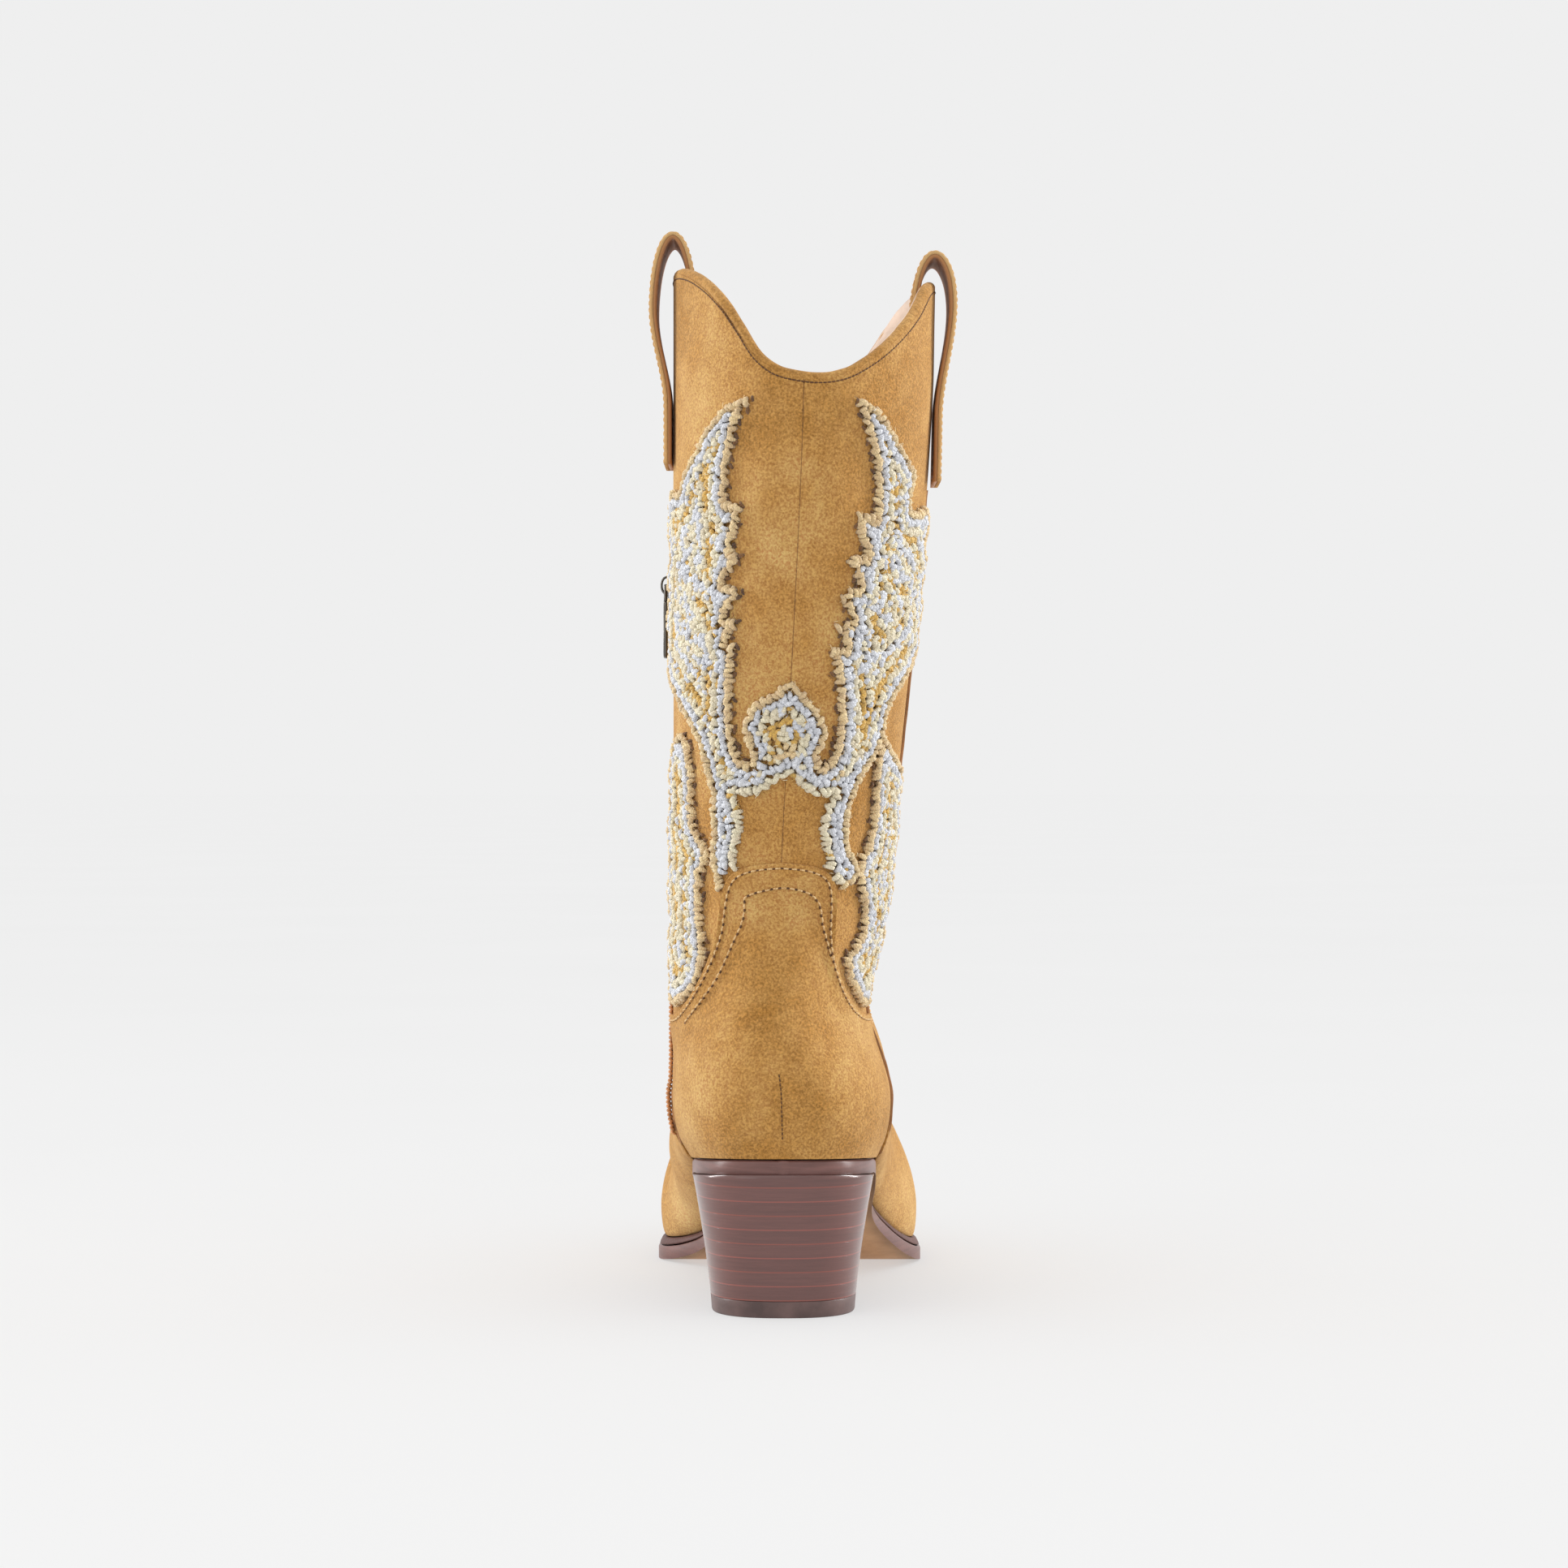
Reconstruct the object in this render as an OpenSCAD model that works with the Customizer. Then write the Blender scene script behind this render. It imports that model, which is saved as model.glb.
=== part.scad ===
// Right-foot western boot with a stacked heel, pull straps, a zip on the inner side
// and yarn-embroidered shaft panels.
// Units are millimetres. X points to the outer side of the foot, Y to the toe, Z up.
// The origin is on the ground, under the middle of the heel.

/* [Shaft] */
// Height of the topline at the inner side seam
medial_peak_z = 357.5; // [352:0.5:360]
// Height of the topline at the outer side seam
lateral_peak_z = 354.5; // [352:0.5:360]
// Height of the lowest point of the topline at the back
back_dip_z = 316.5; // [308:0.5:330]
// Height of the lowest point of the topline at the front
front_dip_z = 312; // [296:1:330]
// Thickness of the suede
suede_t = 1.4; // [1.0:0.1:1.5]
// Thickness of the lining leather
lining_t = 1.0; // [0.8:0.1:1.2]
// Height that the yarn embroidery stands above the suede
yarn_t = 2.6; // [1.5:0.1:3.5]
// Radius of the rolled binding on the topline
binding_r = 1.7; // [1.4:0.1:2.0]

/* [Pull straps] */
// Width of a pull strap, front to back
strap_w = 28; // [20:1:32]
// Thickness of the folded strap
strap_t = 2.6; // [2.0:0.1:3.0]

/* [Zip] */
// Height of the top end of the closed zip
zip_top = 255; // [200:1:258]
// Height of the bottom end of the zip
zip_bottom = 74; // [74:1:90]
// Width of one row of coil
coil_w = 2.5; // [2.0:0.1:2.5]
// Length of the pull tab below its eye
pull_len = 25; // [15:1:30]

/* [Heel and sole] */
// Number of leather lifts in the heel
lift_count = 9; // [9:1:9]
// Thickness of one leather lift
lift_t = 4.8; // [4.6:0.1:4.9]
// Thickness of the rubber top lift under the heel
top_lift_t = 5.8; // [5:0.1:6]
// Distance that the welt stands out past the upper
welt_w = 3.2; // [2.5:0.1:4]
// Thickness of the leather outsole
outsole_t = 5; // [4:0.1:5.2]
// Thickness of the insole board
insole_t = 2.4; // [2.0:0.1:3.0]

/* [Hidden] */

seam_y = 30;        // both side seams run straight up at this Y
gap = 0.3;          // clearance left between neighbouring layers
eps = 0.35;         // step for the surface normals
dip_angle = 83;     // the back of the topline is lowest a little outside the back seam
medial = -1;
lateral = 1;

// Layer depths below the outer skin
stiff_in = suede_t + gap;
stiff_t = 1.0;
lining_in = stiff_in + stiff_t + gap;
slot_half = 4.6;    // half width of the slot that the zip shows in
flap_x = -32.1;     // outer face of the guard flap behind the zip
skin_x = -37;       // outer skin of the shaft along the zip

// Rear outline of the boot. Height, rear Y, medial X, lateral X, roundness of the slice.
BACK = [
    [48.5, -29.0, -30.7, 34.0, 2.7], [56, -30.8, -34.9, 37.2, 2.65], [65, -32.0, -36.9, 38.7, 2.6],
    [74, -32.0, -37.2, 38.4, 2.5], [85, -30.6, -37.0, 35.4, 2.35], [94, -28.6, -37.0, 31.9, 2.25],
    [102, -26.5, -37.0, 30.2, 2.15], [115, -22.8, -37.0, 31.8, 2.05], [130, -20.0, -37.0, 35.2, 2.0],
    [150, -19.0, -37.0, 38.2, 2.0], [170, -20.5, -37.0, 40.2, 2.0], [200, -24.0, -37.0, 43.4, 2.0],
    [230, -27.4, -37.0, 46.6, 2.0], [260, -30.0, -37.0, 49.6, 2.0], [290, -32.0, -37.0, 52.2, 2.0],
    [320, -33.3, -37.0, 53.8, 2.0], [365, -34.5, -37.0, 54.6, 2.0]];

// Front of the boot in sections from the top to the toe. Station, ridge Y and Z, end Y and Z,
// medial and lateral bulge past the end, share of the section where it is widest, roundness.
FRONT = [
    [215, 89.0, 365, 30, 365, 0, 0, 1, 2.0], [170, 88.5, 320, 30, 320, 0, 0, 1, 2.0],
    [140, 87.5, 290, 30, 290, 0, 0, 1, 2.0], [110, 86.0, 260, 30, 260, 0, 0, 1, 2.0],
    [80, 84.0, 230, 30, 230, 0, 0, 1, 2.0], [50, 82.0, 200, 30, 200, 0, 0, 1, 2.0],
    [20, 81.5, 170, 30, 170, 0, 0, 1, 2.0], [0, 84.0, 150, 30, 150, 0, 0, 1, 2.0],
    [-20, 89.5, 134, 30, 118, 0, 0, 1, 2.0], [-35, 97.0, 121.5, 30, 92, 0, 0, 1, 1.95],
    [-48, 106.0, 112, 30, 68, 0, 0, 1, 1.9], [-58, 114.5, 104.5, 30, 48.5, 5, 4, 0.84, 1.85],
    [-70, 122.5, 98, 52, 41, 12, 8, 0.76, 1.8], [-85, 131.5, 91.5, 80, 28, 16.5, 8, 0.74, 1.75],
    [-100, 141.5, 85, 106, 16, 14, 5, 0.76, 1.75], [-115, 152.0, 78, 126, 9, 5, 2.2, 0.8, 1.75],
    [-130, 164.0, 70.5, 144, 8.5, 1.8, 1.8, 0.84, 1.8], [-150, 180.5, 61, 167, 9.2, 1.6, 1.6, 0.84, 1.85],
    [-170, 197.0, 52, 190, 11.5, 1.4, 1.4, 0.82, 1.9], [-190, 214.0, 44, 211.5, 14.6, 1.2, 1.2, 0.8, 2.0],
    [-205, 227.5, 37.8, 227, 17.2, 1, 1, 0.76, 2.1], [-214, 236.0, 32.5, 237, 19.1, 0.8, 0.8, 0.74, 2.1],
    [-219, 240.3, 27.8, 241, 19.9, 0.5, 0.5, 0.7, 2.1], [-221, 241.8, 24.6, 242.6, 20.3, 0.3, 0.3, 0.7, 2.1],
    [-223, 242.8, 21.2, 242.9, 20.4, 0.1, 0.1, 0.7, 2.1]];
corner_s = -58;     // station where the side seam meets the sole

// Line where the upper meets the sole. Y, Z, medial X, lateral X.
SOLE = [
    [-45, 54.9, -30.7, 34.0], [-29, 54.0, -30.7, 34.0], [0, 51.6, -30.7, 34.0], [30, 48.5, -30.7, 34.0],
    [50, 41.8, -27.2, 32.4], [70, 32.4, -24.6, 32.2], [85, 25.2, -23.3, 34.4], [100, 18.0, -23.9, 39.0],
    [110, 13.8, -27.6, 42.8], [120, 10.6, -34.2, 46.8], [128, 9.1, -39.6, 49.1], [136, 8.5, -42.3, 50.0],
    [148, 8.4, -42.4, 49.1], [160, 8.8, -39.8, 46.4], [175, 9.8, -34.8, 41.3], [190, 11.5, -29.0, 35.2],
    [205, 13.6, -23.0, 28.6], [220, 15.9, -16.8, 21.8], [230, 17.7, -12.6, 17.2], [237, 19.1, -9.0, 13.0],
    [241, 19.9, -5.6, 8.8], [242.8, 20.3, -1.6, 4.2], [255, 22.8, -1.6, 4.2]];
// Rise of the topline from its dip (0) to its peaks at the side seams (1): by rear angle and by front share.
BACK_RISE = [
    [0, 1], [12, 0.96], [20, 0.88], [32, 0.64], [50, 0.32], [62, 0.145], [72, 0.04], [83, 0], [95, 0.024],
    [104, 0.083], [112, 0.21], [120, 0.43], [128, 0.63], [138, 0.80], [150, 0.924], [164, 0.99], [180, 1]];
FRONT_RISE = [
    [0, 0], [0.1, 0.07], [0.2, 0.2], [0.3, 0.375], [0.4, 0.575], [0.5, 0.75], [0.6, 0.89], [0.75, 0.98], [1, 1]];

toe_y = 242.8;
heel_y = -29;

// Upper edge of the heel counter cover. Arc distance from the back seam, height.
COUNTER_TOP = [
    [0, 152.8], [8, 152.0], [14, 150.2], [17.5, 147.5], [19.6, 143], [20.4, 137], [20.8, 130],
    [23.5, 121], [28.5, 112.5], [35, 106], [43, 101.5], [52, 99.5], [75, 99]];

// Edge between the shaft front and the vamp. Share of the section from the ridge, station.
TONGUE = [[0, 14], [0.15, 10], [0.35, -8], [0.6, -21], [0.8, -27.5], [1, -30]];

// ---- interpolation ------------------------------------------------------------------

// Index of the table interval that holds x; the table's first column rises or falls.
function interval(t, x, up, i = 0) =
    i >= len(t) - 2 || (up ? x < t[i + 1][0] : x > t[i + 1][0]) ? i : interval(t, x, up, i + 1);

function slope(t, i, c) =
    let (a = max(i - 1, 0), b = min(i + 1, len(t) - 1))
    (t[b][c] - t[a][c]) / (t[b][0] - t[a][0]);

// Column c of table t at x, on smooth cubic arcs through the rows.
function at(t, x, c) =
    let (i = interval(t, x, t[1][0] > t[0][0]), w = t[i + 1][0] - t[i][0],
         u = max(0, min(1, (x - t[i][0]) / w)), v = u * u * (3 - 2 * u))
    t[i][c] * (1 - v) + t[i + 1][c] * v
        + w * slope(t, i, c) * u * (1 - u) * (1 - u) - w * slope(t, i + 1, c) * u * u * (1 - u);

function mix(a, b, u) = a + (b - a) * u;
function smooth(u) = let (v = max(0, min(1, u))) v * v * (3 - 2 * v);
function unit(v) = v / max(norm(v), 1e-9);
function steps(a, b, n) = [for (i = [0:n]) mix(a, b, i / n)];
function side_x(t, x, side) = at(t, x, side == medial ? 2 : 3);

// ---- the outer skin -----------------------------------------------------------------

// Rear skin: slice height z and angle a, from the lateral seam (0) round to the medial one (180).
function rear(z, a) =
    let (n = at(BACK, z, 4), xm = at(BACK, z, 2), xl = at(BACK, z, 3), c = cos(a), s = max(sin(a), 0),
         x = (xm + xl) / 2 + (xl - xm) / 2 * sign(c) * pow(abs(c), 2 / n),
         y = seam_y - (seam_y - at(BACK, z, 1)) * pow(s, 2 / n),
         tilt = (at(SOLE, y, 1) - at(SOLE, seam_y, 1)) * (1 - smooth((z - 50) / 60)))
    [x, y, z + tilt];

function end_x(s, side) =
    s > corner_s ? side_x(BACK, at(FRONT, s, 4), side) : side_x(SOLE, at(FRONT, s, 3), side);

// Front skin: station s and share a, from the medial end (-1) over the ridge (0) to the lateral one (1).
function front(s, a) =
    let (side = a < 0 ? medial : lateral, h = abs(a), qm = min(at(FRONT, s, 7), 1), n = at(FRONT, s, 8),
         split = 1 - 0.9 * (1 - qm), f = [at(FRONT, s, 1), at(FRONT, s, 2)],
         ey = at(FRONT, s, 3), e = [ey, s > corner_s ? at(FRONT, s, 4) : at(SOLE, ey, 1)],
         xe = end_x(s, side), xw = xe + side * max(0, at(FRONT, s, side == medial ? 5 : 6)),
         xc = (end_x(s, medial) + end_x(s, lateral)) / 2 * (s > 0 ? 1 : 0.6),
         u = 90 * min(h / split, 1), v = 90 * max(0, min(1, (h - split) / max(1 - split, 1e-6))),
         q = h <= split ? qm * (1 - pow(cos(u), 2 / n)) : qm + (1 - qm) * sin(v),
         x = h <= split ? xc + (xw - xc) * pow(sin(u), 2 / n) : xe + (xw - xe) * cos(v))
    [x, mix(f[0], e[0], q), mix(f[1], e[1], q)];

// A point of the rear or front skin, moved along its outward normal.
function rear_at(z, a, off) =
    let (b = max(1, min(179, a)), du = rear(z + eps, b) - rear(z - eps, b),
         dv = rear(z, b + eps) - rear(z, b - eps))
    rear(z, a) + off * unit(cross(du, dv));
function front_at(s, a, off) =
    let (b = abs(a) < 0.02 ? (a < 0 ? -0.02 : 0.02) : max(-0.985, min(0.985, a)),
         du = front(min(s + eps, 214), b) - front(max(s - eps, -223), b),
         dv = front(s, b + 0.01) - front(s, b - 0.01))
    front(s, a) + off * unit(cross(du, dv));

// Topline height on the rear skin at angle a, and on the front skin at share a.
function peak_z(side) = side == medial ? medial_peak_z : lateral_peak_z;
function back_top(a) =
    back_dip_z + (peak_z(a > dip_angle ? medial : lateral) - back_dip_z) * at(BACK_RISE, a, 1);
function front_top(a) =
    front_dip_z + (peak_z(a < 0 ? medial : lateral) - front_dip_z) * at(FRONT_RISE, abs(a), 1);

// Arc distance from the back seam to rear angle a, near height z.
function rear_arc(z, a) =
    let (n = 12, p = [for (b = steps(90, a, n)) rear(z, b)])
    (a > 90 ? 1 : -1) * len_of(p);
function len_of(p, i = 0) = i >= len(p) - 1 ? 0 : norm(p[i + 1] - p[i]) + len_of(p, i + 1);

// Rear angle where the skin is d millimetres behind the side seam.
function seam_angle(z, d) = asin(pow(d / (seam_y - at(BACK, z, 1)), at(BACK, z, 4) / 2));
// Half width of the opening for the zip at height z: it closes above the top stop.
function slot(z) = mix(gap / 2, slot_half, smooth((z - zip_bottom + 16) / 5) * (1 - smooth((z - zip_top - 4) / 6)));

// ---- solids from grids --------------------------------------------------------------

// A closed shell between two grids of points that have the same size.
module shell(outer, inner) {
    m = len(outer);
    n = len(outer[0]);
    top = [for (r = outer) each r];
    low = [for (r = inner) each r];
    k = m * n;
    quads = [
        for (i = [0:m - 2], j = [0:n - 2]) [i * n + j, i * n + j + 1, (i + 1) * n + j + 1, (i + 1) * n + j],
        for (i = [0:m - 2], j = [0:n - 2])
            [k + i * n + j, k + (i + 1) * n + j, k + (i + 1) * n + j + 1, k + i * n + j + 1],
        for (j = [0:n - 2]) each [[j, k + j, k + j + 1, j + 1],
            [(m - 1) * n + j + 1, k + (m - 1) * n + j + 1, k + (m - 1) * n + j, (m - 1) * n + j]],
        for (i = [0:m - 2]) each [[(i + 1) * n, k + (i + 1) * n, k + i * n, i * n],
            [i * n + n - 1, k + i * n + n - 1, k + (i + 1) * n + n - 1, (i + 1) * n + n - 1]]];
    polyhedron(points = concat(top, low),
        faces = [for (q = quads) each [[q[0], q[1], q[2]], [q[0], q[2], q[3]]]], convexity = 10);
}

// A solid tube of radius r round a closed path of points.
module ring_tube(path, r, sides) {
    n = len(path);
    function tangent(i) = unit(path[(i + 1) % n] - path[(i + n - 1) % n]);
    points = [for (i = [0:n - 1]) let (t = tangent(i), a = unit(cross(t, [0, 0, 1])), b = cross(a, t))
        for (k = [0:sides - 1]) path[i] + r * (cos(360 * k / sides) * a + sin(360 * k / sides) * b)];
    quads = [for (i = [0:n - 1], k = [0:sides - 1])
        [i * sides + k, i * sides + (k + 1) % sides,
         (i + 1) % n * sides + (k + 1) % sides, (i + 1) % n * sides + k]];
    polyhedron(points = points,
        faces = [for (q = quads) each [[q[0], q[1], q[2]], [q[0], q[2], q[3]]]], convexity = 10);
}

// A closed shell between two depths of a skin. place(row, column, outward) gives its points.
module layer(rows, cols, place, outer, inner) {
    shell([for (r = rows) [for (c = cols) place(r, c, -outer)]],
          [for (r = rows) [for (c = cols) place(r, c, -inner)]]);
}

// ---- panels of the upper --------------------------------------------------------------

seam_gap = 0.9;      // half width of the lateral seam, which the seam welt fills
back_gap = 0.2;      // degrees left each side of the back seam
edge_drop = 2 * binding_r + 0.9;   // the panels end this far under the top of the binding

function counter_top(a) = at(COUNTER_TOP, abs(rear_arc(115, a)), 1);
function lateral_edge(z) = seam_angle(z, seam_gap);
function medial_edge(z) = 180 - seam_angle(z, slot(z));
back_top_edge = function (a) back_top(a) - edge_drop;
heel_bottom_edge = function (a) 48.5;
above_counter = function (a) max(counter_top(a - 2), counter_top(a + 2)) + 2 * gap;

// Places on the rear skin: r runs up from low(a) to high(a), c across from angle a0(z) to a1(z).
function rear_place(a0, a1, low, high) = function (r, c, off)
    let (a = mix(a0(150), a1(150), c), z = mix(low(a), high(a), r))
    rear_at(z, mix(a0(z), a1(z), c), off);

// Share of a front section at which the skin is d millimetres in front of the side seam.
function edge_share(s, d) =
    let (qm = min(at(FRONT, s, 7), 1), split = 1 - 0.9 * (1 - qm), k = 1 - d / (at(FRONT, s, 1) - seam_y))
    k >= qm ? split + (1 - split) * asin((k - qm) / (1 - qm)) / 90
            : split * acos(pow(1 - k / qm, at(FRONT, s, 8) / 2)) / 90;
function front_edge(s, side) =
    s <= corner_s ? 1 : edge_share(s, side == medial ? slot(at(FRONT, s, 4)) : seam_gap);

// Places on the front skin: r runs up from station low(a) to high(a), c from medial -1 to lateral 1.
function front_place(low, high) = function (r, c, off)
    let (s = mix(low(c), high(c), r)) front_at(s, c * front_edge(s, c < 0 ? medial : lateral), off);

tongue_edge = function (a) at(TONGUE, abs(a), 1);
above_tongue = function (a) at(TONGUE, abs(a), 1) + gap;
front_top_edge = function (a) front_top(a) - edge_drop - 150;
toe_end = function (a) -223;
lining_toe_end = function (a) -206;
whole_rear = rear_place(function (z) lateral_edge(z), function (z) medial_edge(z),
                        heel_bottom_edge, back_top_edge);

module shaft_front() color("#C8964F")
    layer(steps(0, 1, 15), steps(-1, 1, 24), front_place(above_tongue, front_top_edge), 0, suede_t);

module shaft_back_medial() color("#C8964F")
    layer(steps(0, 1, 15), steps(0, 1, 12),
        rear_place(function (z) 90 + back_gap, function (z) medial_edge(z),
                   above_counter, back_top_edge), 0, suede_t);

module shaft_back_lateral() color("#C8964F")
    layer(steps(0, 1, 15), steps(0, 1, 12),
        rear_place(function (z) lateral_edge(z), function (z) 90 - back_gap,
                   above_counter, back_top_edge), 0, suede_t);

module vamp() color("#CB9B55")
    layer([for (t = steps(0, 1, 28)) pow(t, 1.3)], steps(-1, 1, 28),
        front_place(toe_end, tongue_edge), 0, suede_t);

module heel_counter_cover() color("#CB9B55")
    layer(steps(0, 1, 9), steps(0, 1, 26),
        rear_place(function (z) lateral_edge(z), function (z) medial_edge(z),
                   heel_bottom_edge, function (a) counter_top(a)), 0, suede_t);

module shaft_lining_front() color("#CDB3A0")
    layer(steps(0, 1, 12), steps(-1, 1, 18), front_place(above_tongue, front_top_edge),
        lining_in, lining_in + lining_t);

module shaft_lining_back() color("#CDB3A0")
    layer(steps(0, 1, 18), steps(0, 1, 18), whole_rear, lining_in, lining_in + lining_t);

module vamp_lining() color("#CDB3A0")
    layer([for (t = steps(0, 1, 24)) pow(t, 1.2)], steps(-1, 1, 20),
        front_place(lining_toe_end, tongue_edge), lining_in, lining_in + lining_t);

module heel_stiffener() color("#B9A98F")
    layer(steps(0, 1, 6), steps(0, 1, 16),
        rear_place(function (z) seam_angle(z, 14), function (z) 180 - seam_angle(z, 14),
                   heel_bottom_edge, function (a) 92), stiff_in, stiff_in + stiff_t);

module toe_puff() color("#B9A98F")
    layer(steps(0, 1, 8), steps(-1, 1, 16),
        front_place(function (a) -214, function (a) -180), stiff_in, stiff_in + stiff_t);

// ---- trim of the upper ----------------------------------------------------------------

function topline(k) =
    k < 1 ? rear_at(back_top(180 * k), 180 * k, -2) : front_at(front_top(2 * k - 3) - 150, 2 * k - 3, -2);

module topline_binding() color("#C08F4C")
    ring_tube([for (i = [0:71]) topline(i / 36) - [0, 0, binding_r]], binding_r, 8);

// Thin edge of leather caught in the lateral side seam.
module side_seam_welt() {
    proud = 0.9;
    half = seam_gap - 0.5;
    heights = steps(66, strap_low(lateral) - 2, 28);
    function p(z, x_off, y_off) = [at(BACK, z, 3) + x_off, seam_y + y_off, z];
    color("#8A5A38")
        shell([for (z = heights) [p(z, proud, -half), p(z, proud, half)]],
              [for (z = heights) [p(z, -suede_t, -half), p(z, -suede_t, half)]]);
}

function strap_low(side) = side == medial ? 290 : 284;

// Middle line of a pull strap, seen from the front, as distance outside the seam and height.
// It starts on the outside of the shaft, loops over the topline and ends on the lining.
function strap_line(side) =
    let (low = strap_low(side), top = side == medial ? 370.6 : 364, leg = gap + strap_t / 2,
         out = side == medial ? 6.7 : 6.0, mid = side == medial ? 344 : 345,
         in = -(lining_in + lining_t + 1.4 + leg))
    [each [for (u = steps(0, 1, 12)) [leg + (out - leg) * smooth(1.6 * u - 0.6), mix(low, mid, u)]],
     each [for (a = steps(8, 172, 16)) [mix(in, out, (1 + cos(a)) / 2), mid + (top - strap_t / 2 - mid) * sin(a)]],
     each [for (u = steps(0.02, 1, 8)) [in, mix(mid, low + 12, u)]]];

module pull_strap(side) {
    line = strap_line(side);
    n = len(line);
    ends = [for (i = [0:n - 1]) unit(line[min(i + 1, n - 1)] - line[max(i - 1, 0)])];
    function edge(i, d) = line[i] + d * [-ends[i][1], ends[i][0]];
    outline = concat([for (i = [0:n - 1]) edge(i, strap_t / 2)], [for (i = [n - 1:-1:0]) edge(i, -strap_t / 2)]);
    lean = side == medial ? 0 : 0.02;
    translate([side == medial ? skin_x : at(BACK, lateral_peak_z, 3), seam_y + strap_w / 2, 0])
        rotate([90, 0, 0])
            linear_extrude(strap_w)
                polygon([for (p = outline) [side * p[0] - side * lean * max(0, lateral_peak_z - p[1]), p[1]]]);
}

module pull_strap_medial() color("#C8964F") pull_strap(medial);
module pull_strap_lateral() color("#C8964F") pull_strap(lateral);

// Outline of one wing of embroidery: height, angle from the back seam to its inner and outer edge.
WING = [[112, 42, 58], [130, 36, 63], [150, 28, 62], [172, 14, 56], [190, 12, 50], [215, 20, 62],
        [240, 18, 72], [265, 20, 72], [285, 24, 56], [306, 22, 25]];

module embroidery(on_front, side) {
    rows = steps(on_front ? 168 : 112, 304, 16);
    function turn(z, c) = mix(at(WING, z, 1), at(WING, z, 2), side == medial ? c : 1 - c);
    color("#D9B67E") layer(rows, steps(0, 1, 7),
        on_front
            ? function (z, c, off) front_at(z - 150, side * turn(z, 1 - c) / 90, off)
            : function (z, c, off) rear_at(z, 90 - side * turn(z, c), off),
        -yarn_t, -0.5);
}

module embroidery_back_medial() embroidery(false, medial);
module embroidery_back_lateral() embroidery(false, lateral);
module embroidery_front_medial() embroidery(true, medial);
module embroidery_front_lateral() embroidery(true, lateral);

// ---- zip ------------------------------------------------------------------------------

row_gap = 0.75;         // half the space between the coil rows, where the slider's nose runs
tape_x = -34.95;        // outer face of the tapes
tape_t = 0.5;
tape_w = 7.4;
coil_t = 1.9;
stop_h = 3;
slider_top = zip_top - stop_h - gap;
slider_h = 10;
slider_half = 4.0;
plate_in = -37.3;       // inner face of the slider's outer plate
plate_t = 1.3;
pin_x = plate_in - plate_t - 1.1;
pin_z = slider_top - 3.5;
pin_r = 0.6;
bridge_half = 0.9;
pull_t = 1.3;

// A box between two corners.
module block(low, high) translate(low) cube(high - low);

module zip_side(side, x0, x1, y0, y1, z0, z1) {
    a = seam_y + side * y0;
    b = seam_y + side * y1;
    block([x0, min(a, b), z0], [x1, max(a, b), z1]);
}

module tape(side) zip_side(side, tape_x, tape_x + tape_t, row_gap, row_gap + tape_w, zip_bottom - 1, zip_top + 2);
module coil(side) {
    r = coil_t / 2;
    zip_side(side, tape_x - coil_t, tape_x, row_gap + r, row_gap + coil_w - r, zip_bottom + stop_h, zip_top - stop_h);
    for (y = [row_gap + r, row_gap + coil_w - r])
        translate([tape_x - r, seam_y + side * y, zip_bottom + stop_h])
            cylinder(r = r, h = zip_top - zip_bottom - 2 * stop_h, $fn = 24);
}

module zip_tape_front() color("#8C6239") tape(1);
module zip_tape_back() color("#8C6239") tape(-1);
module zip_coil_front() color("#A87850") coil(1);
module zip_coil_back() color("#A87850") coil(-1);

module zip_top_stops() color("#B8B8BC")
    for (side = [-1, 1])
        zip_side(side, tape_x - coil_t - 0.2, tape_x, row_gap, row_gap + coil_w, zip_top - stop_h, zip_top);

module zip_bottom_stop() color("#B8B8BC")
    block([tape_x - coil_t - 0.2, seam_y - row_gap - coil_w, zip_bottom],
          [tape_x, seam_y + row_gap + coil_w, zip_bottom + stop_h]);

// Leather flap on the lining that keeps the zip off the leg.
module zip_guard_flap() color("#C9AE98")
    block([flap_x, seam_y - 9, zip_bottom + 2], [flap_x + 1, seam_y + 9, zip_top + 8]);

module zip_slider() color("#C9CACE") {
    low = slider_top - slider_h;
    flange = 0.4;
    nose = row_gap - 0.4;
    bridge_low = pin_z - 3.5;
    post = 1.2;
    // outer and inner plates, and the nose that joins them between the rows
    block([plate_in - plate_t, seam_y - slider_half, low], [plate_in, seam_y + slider_half, slider_top]);
    block([tape_x + tape_t + 0.35, seam_y - slider_half, low], [tape_x + tape_t + 1.25, seam_y + slider_half, slider_top]);
    block([plate_in - 0.1, seam_y - nose, slider_top - 4], [tape_x + tape_t + 0.4, seam_y + nose, slider_top]);
    for (side = [-1, 1])
        zip_side(side, plate_in - 0.1, tape_x - 0.35, slider_half - flange, slider_half, low, slider_top);
    // bridge that holds the pull tab
    for (z = [bridge_low, slider_top - post])
        block([pin_x - pin_r - 0.8, seam_y - bridge_half, z], [plate_in - plate_t + 0.1, seam_y + bridge_half, z + post]);
    block([pin_x - pin_r - 1.5, seam_y - bridge_half, bridge_low],
          [pin_x - pin_r - 0.3, seam_y + bridge_half, slider_top]);
}

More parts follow.
